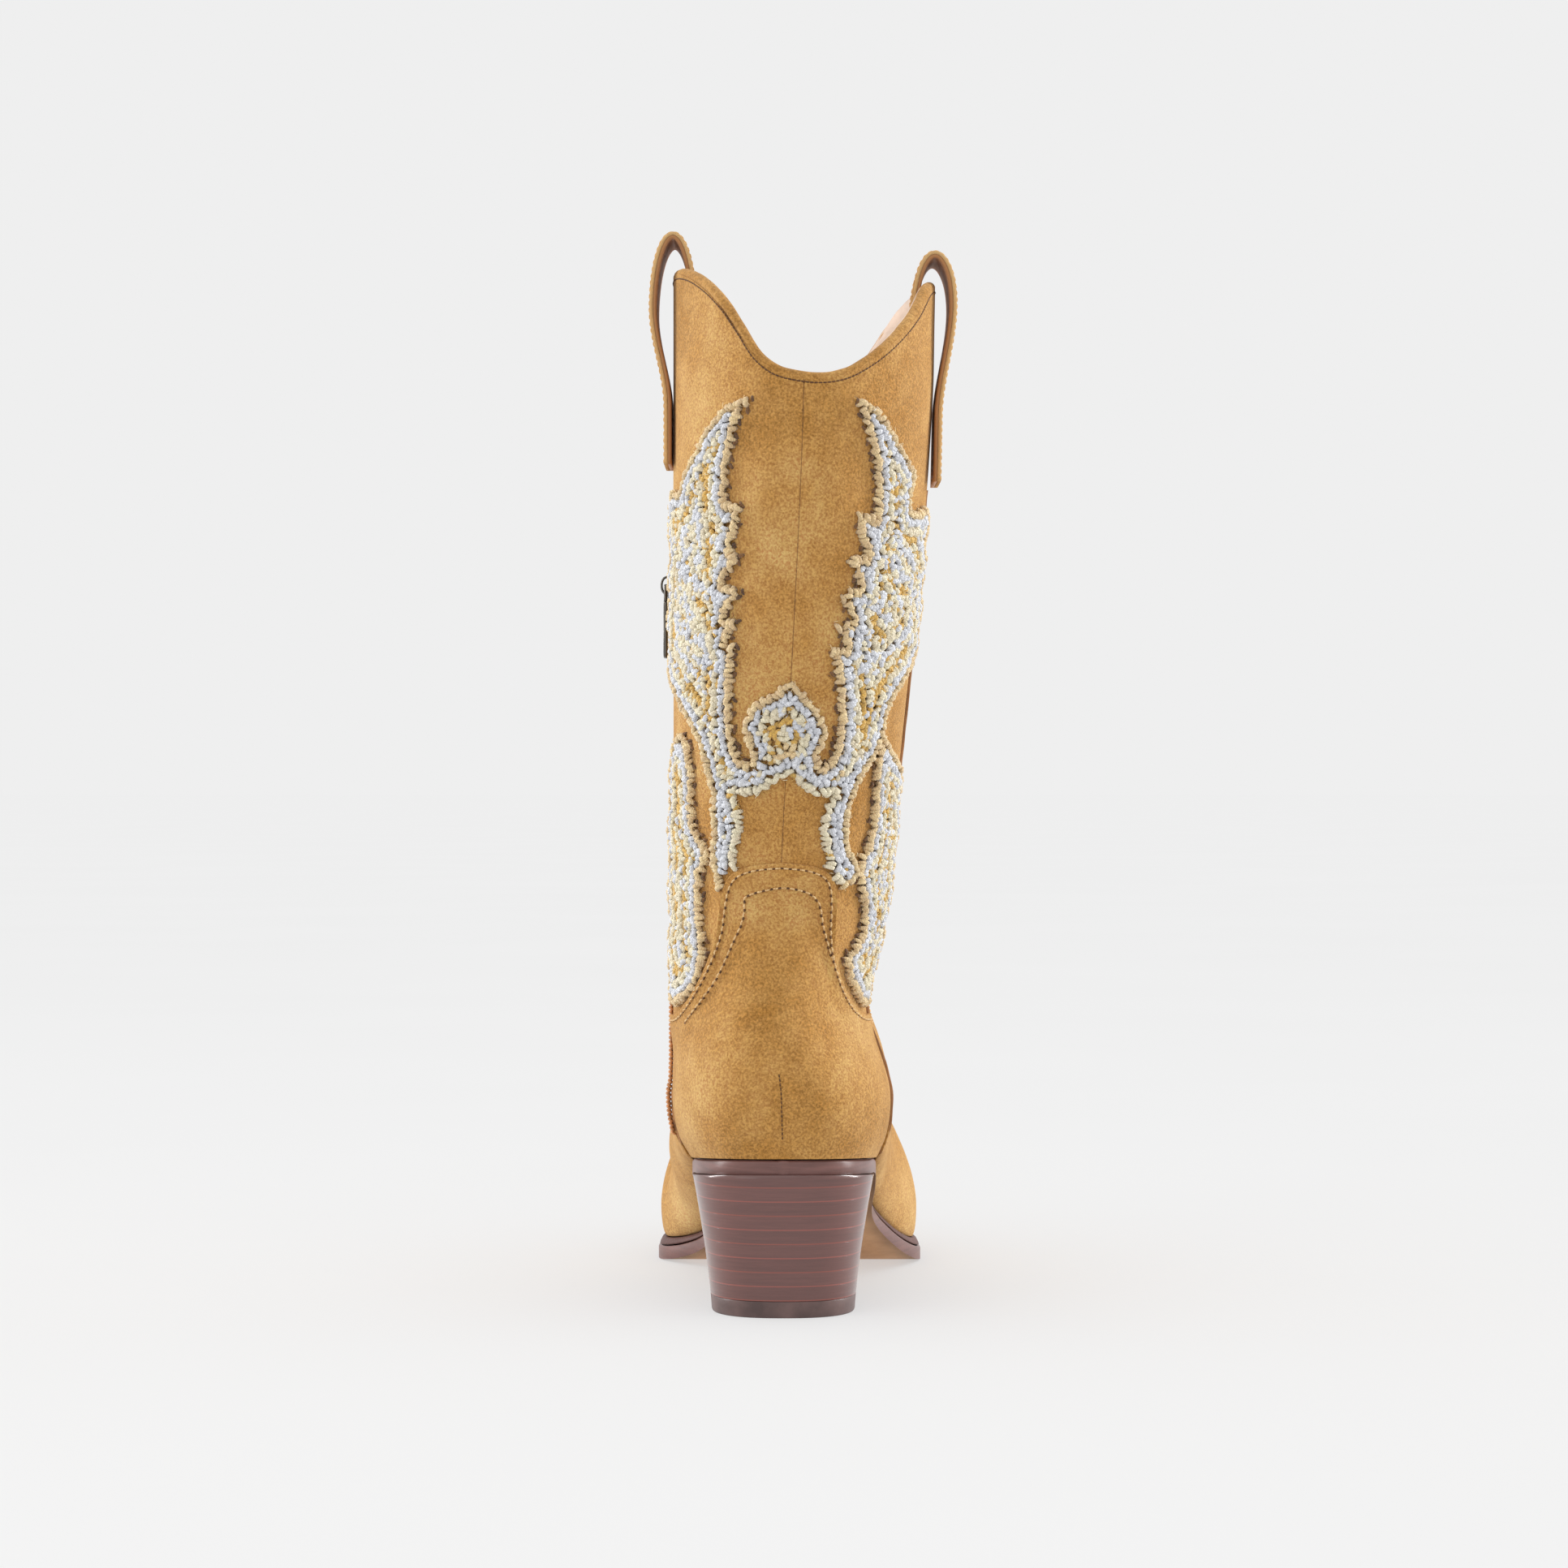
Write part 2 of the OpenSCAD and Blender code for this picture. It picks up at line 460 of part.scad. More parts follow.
module zip_pull_tab() color("#B9BABF") {
    eye = 4.9;
    eye_half = bridge_half + 0.4;
    arm_half = eye_half + 1.6;
    end_half = 4.2;
    translate([pin_x, seam_y, pin_z]) {
        rotate([90, 0, 0]) cylinder(r = pin_r, h = 2 * eye_half + 0.4, center = true, $fn = 24);
        difference() {
            rotate([90, 0, -90])
                linear_extrude(pull_t, center = true)
                    polygon([[-arm_half, 0.6], [arm_half, 0.6], [arm_half, -eye], [end_half, -pull_len + 3],
                             [end_half - 1.5, -pull_len], [1.5 - end_half, -pull_len],
                             [-end_half, -pull_len + 3], [-arm_half, -eye]]);
            block([-pull_t, -eye_half, -eye], [pull_t, eye_half, 2]);
        }
    }
}

// ---- heel and sole --------------------------------------------------------------------

stack_top = top_lift_t + lift_count * lift_t;
heel_mid_x = 1.4;
seat_tilt = atan((54 - 48.5) / (seam_y - heel_y));
SCREW = [heel_mid_x, -2];
NAILS = [for (x = [-13, 13], y = [-14, 11]) [heel_mid_x + x, y]];
TIP_NAILS = [for (a = [20, 90, 160, 215, 325]) [heel_mid_x + 17 * cos(a), -2 - 15 * sin(a)]];

// Edge of the sole on one side: w runs from -1 at the back of the heel over 0 at the side seam to 1 at the toe.
function sole_edge(w, side) =
    let (y = seam_y + (toe_y - seam_y) * sin(90 * w))
    w < 0 ? rear(48.5, side == lateral ? -90 * w : 180 + 90 * w) : [side_x(SOLE, y, side), y, 0];

// The same edge moved out by off, at the height of the upper's lower edge less drop.
function sole_point(w, side, off, drop) =
    let (d = 0.01, t = unit(sole_edge(min(w + d, 1), side) - sole_edge(max(w - d, -0.99), side)),
         l = norm([t[0], t[1]]), p = sole_edge(w, side) + off * side / l * [t[1], -t[0], 0])
    [p[0], p[1], at(SOLE, p[1], 1) - drop];

function sole_w(y) = y < seam_y ? (y - seam_y) / 60 : asin((y - seam_y) / (toe_y - seam_y)) / 90;
function welt_t(y) = 3.2 * smooth((y - 30) / 18);
function stand_out(y) = 1.2 + (welt_w - 1.2) * smooth((y - 66) / 45);

// A slab under or over the sole line. Rows by w; off(y), top(y) and low(y) set its edge and faces.
module slab(rows, off, top, low) {
    cols = steps(1, 0, 4);
    function p(w, c, face) =
        let (y = sole_edge(w, lateral)[1], m = sole_point(w, medial, off(y), 0), l = sole_point(w, lateral, off(y), 0),
             q = mix(m, l, c))
        [q[0], q[1], at(SOLE, q[1], 1) - face(q[1])];
    shell([for (w = rows) [for (c = cols) p(w, c, top)]], [for (w = rows) [for (c = cols) p(w, c, low)]]);
}

module heel_bores() {
    translate([SCREW[0], SCREW[1], 25]) cylinder(r = 2.3, h = 40, $fn = 32);
    for (p = NAILS) translate([p[0], p[1], 33]) cylinder(r = 1.05, h = 30, $fn = 24);
    for (p = TIP_NAILS) translate([p[0], p[1], -1]) cylinder(r = 0.95, h = 16, $fn = 24);
}

module insole_board() color("#B08D62")
    difference() {
        slab(steps(-0.97, sole_w(233), 28), function (y) -(lining_in + lining_t + gap),
            function (y) -insole_t, function (y) -gap);
        heel_bores();
        translate([SCREW[0], SCREW[1], 51]) cylinder(r = 4.4, h = 10, $fn = 32);
    }

module sock_liner() color("#C8AD98")
    slab(steps(-0.96, sole_w(226), 26), function (y) -(lining_in + lining_t + 1.6),
        function (y) -(insole_t + gap + 1.4), function (y) -(insole_t + gap));

module forepart_filler() color("#8F6B45")
    slab(steps(sole_w(116), sole_w(232), 16), function (y) -3.6,
        function (y) 0.3, function (y) welt_t(y) - 0.1);

module outsole() color("#8F7570")
    difference() {
        slab(steps(-0.985, 1, 44), function (y) stand_out(y),
            function (y) 0.4 + welt_t(y), function (y) 0.2 + welt_t(y) + outsole_t);
        heel_bores();
    }

module steel_shank() {
    rows = steps(46, 112, 10);
    function p(y, c, drop) = [(at(SOLE, y, 2) + at(SOLE, y, 3)) / 2 + 6 * c, y, at(SOLE, y, 1) - drop];
    color("#9A9CA1")
        shell([for (y = rows) [for (c = [1, 0, -1]) p(y, c, 0.8)]], [for (y = rows) [for (c = [1, 0, -1]) p(y, c, 2.0)]]);
}

// Strip between the upper and the outsole, from one side of the heel round the toe to the other.
module welt() {
    start = sole_w(40);
    path = [each [for (w = steps(start, 1, 34)) [w, medial]], each [for (w = steps(1, start, 34)) [w, lateral]]];
    function p(k, off, drop) = sole_point(k[0], k[1], off, drop);
    function wide(k) = stand_out(sole_edge(k[0], k[1])[1]);
    function deep(k) = welt_t(sole_edge(k[0], k[1])[1]);
    color("#6E4438") shell([for (k = path) [p(k, wide(k) - 1.8, 0.2), p(k, -1, 0.2), p(k, -3.2, 0.2)]],
          [for (k = path) [p(k, wide(k), deep(k) - 0.15), p(k, -1, deep(k) - 0.15), p(k, -3.2, deep(k) - 0.15)]]);
}

// Outline of the heel at height z: a round back and a slightly hollow breast.
function heel_ring(z) =
    let (h = z / stack_top, half = mix(24.5, 31.6, pow(h, 1.3)), back = mix(-23, -29.6, h),
         front = mix(23, 28.6, h), yc = mix(4, 6, h))
    [each [for (a = steps(0, 180, 30))
        [heel_mid_x + half * sign(cos(a)) * pow(abs(cos(a)), 0.8), yc + (back - yc) * pow(max(sin(a), 0), 0.8), z]],
     each [for (u = steps(-1, 1, 8)) [heel_mid_x + 0.95 * half * u, front - 2.2 * (1 - u * u), z]]];

module heel_slice(z0, z1) {
    low = heel_ring(z0);
    n = len(low);
    polyhedron(points = concat(low, heel_ring(z1)),
        faces = [[for (i = [0:n - 1]) i], [for (i = [n - 1:-1:0]) n + i],
            for (i = [0:n - 1]) each [[(i + 1) % n, i, n + i], [(i + 1) % n, n + i, n + (i + 1) % n]]]);
}

// One leather lift; the upper ones are cut to the slope of the heel seat.
module heel_lift(i) color(i % 2 == 0 ? "#7A5850" : "#80605A")
    difference() {
        heel_slice(top_lift_t + (i - 1) * lift_t + 0.02, top_lift_t + i * lift_t);
        if (i >= lift_count - 2)
            translate([0, heel_y, 54 - outsole_t - 0.35]) rotate([-seat_tilt, 0, 0])
                translate([-60, -20, 0]) cube([120, 120, 30]);
        heel_bores();
    }

module rubber_top_lift() color("#5C4440")
    difference() {
        linear_extrude(top_lift_t) polygon([for (p = heel_ring(0)) [p[0], p[1]]]);
        heel_bores();
    }

module heel_screw() color("#8F9094")
    translate([SCREW[0], SCREW[1], 0]) {
        translate([0, 0, 26]) cylinder(r = 2.15, h = 27, $fn = 32);
        translate([0, 0, 52.3]) cylinder(r = 4.2, h = 1.3, $fn = 32);
    }

module heel_nails() color("#8F9094")
    for (p = NAILS) translate([p[0], p[1], 34]) cylinder(r = 0.9, h = 16, $fn = 24);

module top_lift_nails() color("#8F9094")
    for (p = TIP_NAILS) translate([p[0], p[1], 0.3]) cylinder(r = 0.8, h = 14, $fn = 24);

shaft_front();
shaft_back_medial();
shaft_back_lateral();
vamp();
heel_counter_cover();
shaft_lining_front();
shaft_lining_back();
vamp_lining();
heel_stiffener();
toe_puff();
topline_binding();
side_seam_welt();
pull_strap_medial();
pull_strap_lateral();
embroidery_back_medial();
embroidery_back_lateral();
embroidery_front_medial();
embroidery_front_lateral();
zip_tape_front();
zip_tape_back();
zip_coil_front();
zip_coil_back();
zip_top_stops();
zip_bottom_stop();
zip_guard_flap();
zip_slider();
zip_pull_tab();
sock_liner();
insole_board();
steel_shank();
forepart_filler();
welt();
outsole();
for (i = [1:lift_count]) heel_lift(i);
rubber_top_lift();
heel_screw();
heel_nails();
top_lift_nails();
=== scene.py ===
"""Right-foot western boot in tan suede with yarn-embroidered wings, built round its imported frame."""
import bpy
import numpy as np
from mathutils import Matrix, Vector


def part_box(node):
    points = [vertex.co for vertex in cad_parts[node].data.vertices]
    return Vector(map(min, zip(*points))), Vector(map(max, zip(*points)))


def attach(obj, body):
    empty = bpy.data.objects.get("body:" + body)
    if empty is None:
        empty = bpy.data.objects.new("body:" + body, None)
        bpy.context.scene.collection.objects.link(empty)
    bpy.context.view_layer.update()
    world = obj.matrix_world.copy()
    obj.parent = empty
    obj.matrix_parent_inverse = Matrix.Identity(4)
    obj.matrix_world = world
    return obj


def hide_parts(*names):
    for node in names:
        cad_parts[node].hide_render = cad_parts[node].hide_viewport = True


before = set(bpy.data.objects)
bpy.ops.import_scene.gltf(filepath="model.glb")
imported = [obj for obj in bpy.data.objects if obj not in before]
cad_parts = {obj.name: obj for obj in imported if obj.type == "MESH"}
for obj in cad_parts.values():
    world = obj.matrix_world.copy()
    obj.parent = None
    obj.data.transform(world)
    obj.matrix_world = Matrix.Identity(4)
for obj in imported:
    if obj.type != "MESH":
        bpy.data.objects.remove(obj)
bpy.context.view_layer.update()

bl_info = {
    "name": "Western boot",
    "version": (1, 0, 0),
    "blender": (4, 5, 0),
    "location": "3D View > Sidebar > Boot",
    "description": "Builds the pieces of a suede western boot and its studio",
    "category": "Object",
}

MM = 0.001
SEAM_Y = 30.0       # both side seams run straight up at this Y
MEDIAL, LATERAL = -1, 1

# Rear outline of the boot: height, rear Y, medial X, lateral X, roundness of the slice (mm).
BACK = np.array([
    [48.5, -29.0, -30.7, 34.0, 2.7], [56, -30.8, -34.9, 37.2, 2.65], [65, -32.0, -36.9, 38.7, 2.6],
    [74, -32.0, -37.2, 38.4, 2.5], [85, -30.6, -37.0, 35.4, 2.35], [94, -28.6, -37.0, 31.9, 2.25],
    [102, -26.5, -37.0, 30.2, 2.15], [115, -22.8, -37.0, 31.8, 2.05], [130, -20.0, -37.0, 35.2, 2.0],
    [150, -19.0, -37.0, 38.2, 2.0], [170, -20.5, -37.0, 40.2, 2.0], [200, -24.0, -37.0, 43.4, 2.0],
    [230, -27.4, -37.0, 46.6, 2.0], [260, -30.0, -37.0, 49.6, 2.0], [290, -32.0, -37.0, 52.2, 2.0],
    [320, -33.3, -37.0, 53.8, 2.0], [365, -34.5, -37.0, 54.6, 2.0]])

# Front in sections: station, ridge Y and Z, end Y and Z, medial and lateral bulge, widest share, roundness.
FRONT = np.array([
    [215, 89.0, 365, 30, 365, 0, 0, 1, 2.0], [170, 88.5, 320, 30, 320, 0, 0, 1, 2.0],
    [140, 87.5, 290, 30, 290, 0, 0, 1, 2.0], [110, 86.0, 260, 30, 260, 0, 0, 1, 2.0],
    [80, 84.0, 230, 30, 230, 0, 0, 1, 2.0], [50, 82.0, 200, 30, 200, 0, 0, 1, 2.0],
    [20, 81.5, 170, 30, 170, 0, 0, 1, 2.0], [0, 84.0, 150, 30, 150, 0, 0, 1, 2.0],
    [-20, 89.5, 134, 30, 118, 0, 0, 1, 2.0], [-35, 97.0, 121.5, 30, 92, 0, 0, 1, 1.95],
    [-48, 106.0, 112, 30, 68, 0, 0, 1, 1.9], [-58, 114.5, 104.5, 30, 48.5, 5, 4, 0.84, 1.85],
    [-70, 122.5, 98, 52, 41, 12, 8, 0.76, 1.8], [-85, 131.5, 91.5, 80, 28, 16.5, 8, 0.74, 1.75],
    [-100, 141.5, 85, 106, 16, 14, 5, 0.76, 1.75], [-115, 152.0, 78, 126, 9, 5, 2.2, 0.8, 1.75],
    [-130, 164.0, 70.5, 144, 8.5, 1.8, 1.8, 0.84, 1.8], [-150, 180.5, 61, 167, 9.2, 1.6, 1.6, 0.84, 1.85],
    [-170, 197.0, 52, 190, 11.5, 1.4, 1.4, 0.82, 1.9], [-190, 214.0, 44, 211.5, 14.6, 1.2, 1.2, 0.8, 2.0],
    [-205, 227.5, 37.8, 227, 17.2, 1, 1, 0.76, 2.1], [-214, 236.0, 32.5, 237, 19.1, 0.8, 0.8, 0.74, 2.1],
    [-219, 240.3, 27.8, 241, 19.9, 0.5, 0.5, 0.7, 2.1], [-221, 241.8, 24.6, 242.6, 20.3, 0.3, 0.3, 0.7, 2.1],
    [-223, 242.8, 21.2, 242.9, 20.4, 0.1, 0.1, 0.7, 2.1]])
CORNER = -58.0      # station where the side seam meets the sole

# Line where the upper meets the sole: Y, Z, medial X, lateral X.
SOLE = np.array([
    [-45, 54.9, -30.7, 34.0], [-29, 54.0, -30.7, 34.0], [0, 51.6, -30.7, 34.0], [30, 48.5, -30.7, 34.0],
    [50, 41.8, -27.2, 32.4], [70, 32.4, -24.6, 32.2], [85, 25.2, -23.3, 34.4], [100, 18.0, -23.9, 39.0],
    [110, 13.8, -27.6, 42.8], [120, 10.6, -34.2, 46.8], [128, 9.1, -39.6, 49.1], [136, 8.5, -42.3, 50.0],
    [148, 8.4, -42.4, 49.1], [160, 8.8, -39.8, 46.4], [175, 9.8, -34.8, 41.3], [190, 11.5, -29.0, 35.2],
    [205, 13.6, -23.0, 28.6], [220, 15.9, -16.8, 21.8], [230, 17.7, -12.6, 17.2], [237, 19.1, -9.0, 13.0],
    [241, 19.9, -5.6, 8.8], [242.8, 20.3, -1.6, 4.2], [255, 22.8, -1.6, 4.2]])
TOE_Y = 242.8

# Rise of the topline from its dip (0) to its peaks at the side seams (1): by rear angle and by front share.
BACK_RISE = np.array([
    [0, 1], [12, 0.96], [20, 0.88], [32, 0.64], [50, 0.32], [62, 0.145], [72, 0.04], [83, 0], [95, 0.024],
    [104, 0.083], [112, 0.21], [120, 0.43], [128, 0.63], [138, 0.80], [150, 0.924], [164, 0.99], [180, 1]])
BACK_DIP, FRONT_DIP = 316.5, 312     # heights of the topline's two dips
DIP_ANGLE = 83                       # rear angle of the back dip, a little outside the back seam
FRONT_RISE = np.array([
    [0, 0], [0.1, 0.07], [0.2, 0.2], [0.3, 0.375], [0.4, 0.575], [0.5, 0.75], [0.6, 0.89], [0.75, 0.98],
    [1, 1]])

# Upper edge of the heel counter cover: arc distance from the back seam, height.
COUNTER_TOP = np.array([
    [0, 152.8], [8, 152.0], [14, 150.2], [17.5, 147.5], [19.6, 143], [20.4, 137], [20.8, 130],
    [23.5, 121], [28.5, 112.5], [35, 106], [43, 101.5], [52, 99.5], [75, 99]])
# Edge between the shaft front and the vamp: share of the section from the ridge, station.
TONGUE = np.array([[0, 14], [0.15, 10], [0.35, -8], [0.6, -21], [0.8, -27.5], [1, -30]])

# Second row of stitches on the counter cover: arc from the back seam (lateral positive), height.
COUNTER_ROW = np.array([
    [-39, 97.5], [-31, 102.5], [-25, 107.5], [-20, 113], [-17.5, 118], [-15.5, 123], [-14, 127.5],
    [-12.5, 130.5], [-11.5, 134.5], [-11.5, 138.5], [-12, 140.5], [-10, 142], [-4.5, 143.5], [1, 144.5],
    [7, 143.5], [11, 142], [14, 139], [15, 136], [16, 131.5], [18.5, 126], [21.5, 120.5], [26.5, 113.5],
    [34, 106], [43, 98]])

# Outlines of the embroidery: arc from the middle of the panel (lateral positive), height, and the
# finish of the edge that starts there. 0 tan loops, 1 tan loops with a dark flank of short loops that
# is painted shade on the side of the pile, 2 gold loops.
WINGS = np.array([
    [-.5, 214.5, 0], [3, 212, 0], [6, 208.5, 0], [9, 205.5, 0], [11.5, 201.5, 0], [13.5, 198, 0],
    [13.5, 195, 0], [12, 192, 0], [11, 188.5, 0], [12, 186.5, 1], [14.5, 189, 1], [15.5, 193, 1],
    [16, 197.5, 1], [16, 204, 1], [15, 211, 1], [13.5, 217.5, 1], [12.5, 224.5, 0], [17, 225.5, 1],
    [13.5, 232.5, 0], [18.5, 234, 1], [14.5, 241.5, 0], [21, 245.5, 1], [17, 254.5, 0], [23.5, 256, 1],
    [19.5, 264, 1], [20, 270, 0], [26.5, 269.5, 1], [26.5, 276.5, 1], [26.5, 282, 1], [25, 288.5, 1],
    [22.5, 295, 1], [20, 301.5, 1], [18, 307.5, 0], [21.5, 308, 0], [26.5, 305.5, 0], [31.5, 301.5, 0],
    [36, 296.5, 0], [41.5, 291.5, 0], [48, 286.5, 0], [52, 283, 0], [47.5, 278.5, 0], [48, 272.5, 0],
    [57, 273, 0], [68, 275.5, 0], [74, 270, 0], [66, 262, 0], [76, 256, 0], [67, 247, 0], [75, 240, 0],
    [68, 232, 0], [70, 226, 0], [60.5, 219.5, 0], [53, 214.5, 0], [45.5, 210, 0], [42, 205.5, 0],
    [40, 200.5, 0], [38.5, 195.5, 0], [36.5, 190.5, 0], [33, 186.5, 0], [29, 182.5, 0], [26.5, 177.5, 0],
    [24.5, 172.5, 0], [23.5, 167, 0], [23.5, 161.5, 0], [25, 156.5, 0], [28.5, 153.5, 0], [30.5, 149, 0],
    [26, 145, 0], [22.5, 143.5, 2], [19, 147, 2], [13, 149.5, 2], [16, 152.5, 2], [15, 155, 2],
    [13.5, 159.5, 2], [12.5, 165, 2], [13, 170, 2], [15, 174, 2], [17, 176, 2], [12.5, 175, 2],
    [10, 175, 2], [6.5, 177.5, 2], [3, 180, 2], [.5, 182, 2], [-3, 180, 2], [-6, 177.5, 2], [-9, 176, 2],
    [-13, 175.5, 2], [-17.5, 176, 2], [-16, 173.5, 2], [-14.5, 170, 2], [-14, 165, 2], [-15, 159.5, 2],
    [-16, 154, 2], [-13.5, 151, 2], [-17, 148, 2], [-18.5, 144, 2], [-19.5, 140, 0], [-21.5, 141, 0],
    [-23.5, 146.5, 0], [-25.5, 152, 0], [-26, 157.5, 0], [-25.5, 163, 0], [-26.5, 168.5, 0],
    [-26.5, 172.5, 0], [-28, 178, 0], [-31, 185, 0], [-34.5, 192, 0], [-38, 196.5, 0], [-42.5, 200.5, 0],
    [-50, 206, 0], [-58, 211, 0], [-66, 216, 0], [-70, 222, 0], [-68, 230, 0], [-75, 236, 0],
    [-67, 243, 0], [-74, 252, 0], [-66, 258, 0], [-73, 268, 0], [-70, 277, 0], [-66, 280.5, 0],
    [-56, 279, 0], [-53.5, 283.5, 0], [-49, 288, 0], [-43, 293, 0], [-38.5, 298, 0], [-34, 302, 0],
    [-29.5, 306, 0], [-23.5, 307.5, 0], [-16.5, 309, 1], [-18.5, 305, 1], [-22, 300, 1], [-23.5, 294, 1],
    [-25, 287, 1], [-25.5, 279, 1], [-26, 273.5, 0], [-20, 273.5, 1], [-20, 268, 1], [-21.5, 262, 1],
    [-23, 257, 0], [-19, 256, 1], [-21.5, 251, 1], [-26, 246.5, 0], [-18, 244.5, 1], [-21, 239, 1],
    [-25, 234.5, 0], [-19, 234, 1], [-21, 228.5, 1], [-23.5, 226.5, 0], [-19, 226, 1], [-19.5, 220.5, 1],
    [-19.5, 212.5, 1], [-19, 204, 1], [-18.5, 198, 1], [-17, 193, 1], [-14.5, 188.5, 1], [-12, 186.5, 0],
    [-12.5, 190.5, 0], [-14.5, 194, 0], [-16, 198, 0], [-15, 201.5, 0], [-13, 205.5, 0], [-9, 208, 0],
    [-5, 210, 0], [-2.5, 212.5, 0]])
LATERAL_FLAME = np.array([
    [39, 196.5, 1], [36, 193.5, 1], [35, 188, 1], [34.5, 181, 1], [35, 174, 1], [34.5, 165.5, 1],
    [32.5, 159.5, 1], [30, 155.5, 0], [29.5, 151.5, 0], [28.5, 148, 1], [30.5, 142.5, 1], [33.5, 135.5, 1],
    [34, 129, 1], [30.5, 124.5, 1], [27.5, 121, 1], [27, 117.5, 1], [30.5, 114, 0], [37, 108.5, 0],
    [44, 104.5, 0], [52.5, 102.5, 0], [60, 104, 0], [58, 113, 0], [64, 122, 0], [58, 131, 0], [65, 142, 0],
    [59, 152, 0], [66, 163, 0], [60, 172, 0], [64, 181, 0], [56, 187, 0], [48, 190, 0], [43, 194.5, 0]])
MEDIAL_FLAME = np.array([
    [-46.5, 197, 1], [-42, 194.5, 1], [-39, 189.5, 1], [-37, 182.5, 1], [-36, 174, 1], [-35, 167, 1],
    [-32, 163, 1], [-28.5, 159.5, 1], [-26, 156, 0], [-28, 153, 0], [-29.5, 149, 1], [-29.5, 142.5, 1],
    [-28.5, 134, 1], [-26, 126, 1], [-25, 120.5, 1], [-26, 115.5, 1], [-29, 111, 0], [-35, 106.5, 0],
    [-47, 103, 0], [-57, 104, 0], [-56, 113, 0], [-61, 122, 0], [-56, 132, 0], [-62, 143, 0], [-57, 153, 0],
    [-63, 164, 0], [-58, 173, 0], [-62, 182, 0], [-58, 190, 0], [-53.5, 195.5, 0]])


# ---- numbers and skins ---------------------------------------------------------------------

def smooth(u):
    """3u^2 - 2u^3 on u held between 0 and 1."""
    u = np.clip(u, 0, 1)
    return u * u * (3 - 2 * u)


def mix(a, b, u):
    return a + (b - a) * u


def unit(v):
    return v / np.maximum(np.linalg.norm(v, axis=-1, keepdims=True), 1e-9)


def at(table, x, column):
    """Column of a table at x, on cubic arcs through its rows whose slopes come from the neighbouring rows."""
    t = table if table[1, 0] > table[0, 0] else table[::-1]
    k, y, n = t[:, 0], t[:, column], len(t)
    x = np.asarray(x, float)
    a, b = np.maximum(np.arange(n) - 1, 0), np.minimum(np.arange(n) + 1, n - 1)
    m = (y[b] - y[a]) / (k[b] - k[a])
    i = np.clip(np.searchsorted(k, x, "right") - 1, 0, n - 2)
    w = k[i + 1] - k[i]
    u = np.clip((x - k[i]) / w, 0, 1)
    v = smooth(u)
    return y[i] * (1 - v) + y[i + 1] * v + w * m[i] * u * (1 - u) ** 2 - w * m[i + 1] * u * u * (1 - u)


def rear(z, a):
    """Rear skin (mm): at height z a superellipse x = cos a, y = sin a to the power 2/n, from the lateral seam
    at 0 degrees over the back seam at 90 to the medial seam at 180, tilted low down to follow the sole
    line."""
    z, a = np.broadcast_arrays(np.asarray(z, float), np.radians(a))
    n, xm, xl = at(BACK, z, 4), at(BACK, z, 2), at(BACK, z, 3)
    c, s = np.cos(a), np.maximum(np.sin(a), 0)
    x = (xm + xl) / 2 + (xl - xm) / 2 * np.sign(c) * np.abs(c) ** (2 / n)
    y = SEAM_Y - (SEAM_Y - at(BACK, z, 1)) * s ** (2 / n)
    return np.stack([x, y, z + (at(SOLE, y, 1) - 48.5) * (1 - smooth((z - 50) / 60))], -1)


def end_x(s, side):
    c = 2 if side == MEDIAL else 3
    return np.where(s > CORNER, at(BACK, at(FRONT, s, 4), c), at(SOLE, at(FRONT, s, 3), c))


def front(s, a):
    """Front skin (mm): at station s a half superellipse from the medial end (-1) over the ridge (0) to the
    lateral end (1), with a bulge past the end that rolls back under to the sole line."""
    s, a = np.broadcast_arrays(np.asarray(s, float), np.asarray(a, float))
    h, med = np.abs(a), a < 0
    qm, n = np.minimum(at(FRONT, s, 7), 1), at(FRONT, s, 8)
    split = 1 - 0.9 * (1 - qm)
    ey = at(FRONT, s, 3)
    ez = np.where(s > CORNER, at(FRONT, s, 4), at(SOLE, ey, 1))
    xm, xl = end_x(s, MEDIAL), end_x(s, LATERAL)
    xe = np.where(med, xm, xl)
    xw = xe + np.where(med, -1, 1) * np.maximum(0, np.where(med, at(FRONT, s, 5), at(FRONT, s, 6)))
    xc = (xm + xl) / 2 * np.where(s > 0, 1, 0.6)
    u = np.radians(90 * np.minimum(h / split, 1))
    v = np.radians(90 * np.clip((h - split) / np.maximum(1 - split, 1e-6), 0, 1))
    upper = h <= split
    q = np.where(upper, qm * (1 - np.maximum(np.cos(u), 0) ** (2 / n)), qm + (1 - qm) * np.sin(v))
    x = np.where(upper, xc + (xw - xc) * np.sin(u) ** (2 / n), xe + (xw - xe) * np.cos(v))
    return np.stack([x, mix(at(FRONT, s, 1), ey, q), mix(at(FRONT, s, 2), ez, q)], -1)


def rear_normal(z, a):
    """Outward unit normal of the rear skin from central differences."""
    b = np.clip(a, 1, 179)
    return unit(np.cross(rear(z + 0.35, b) - rear(z - 0.35, b), rear(z, b + 0.35) - rear(z, b - 0.35)))


def front_normal(s, a):
    """Outward unit normal of the front skin from central differences."""
    b = np.clip(np.where(np.abs(a) < 0.02, np.where(a < 0, -0.02, 0.02), a), -0.985, 0.985)
    return unit(np.cross(front(np.minimum(s + 0.35, 214), b) - front(np.maximum(s - 0.35, -223), b),
                         front(s, b + 0.01) - front(s, b - 0.01)))


def rear_at(z, a, off):
    return rear(z, a) + np.asarray(off)[..., None] * rear_normal(z, a)


def front_at(s, a, off):
    return front(s, a) + np.asarray(off)[..., None] * front_normal(s, a)


def peak(side, sizes):
    return sizes.medial_peak / MM if side == MEDIAL else sizes.lateral_peak / MM


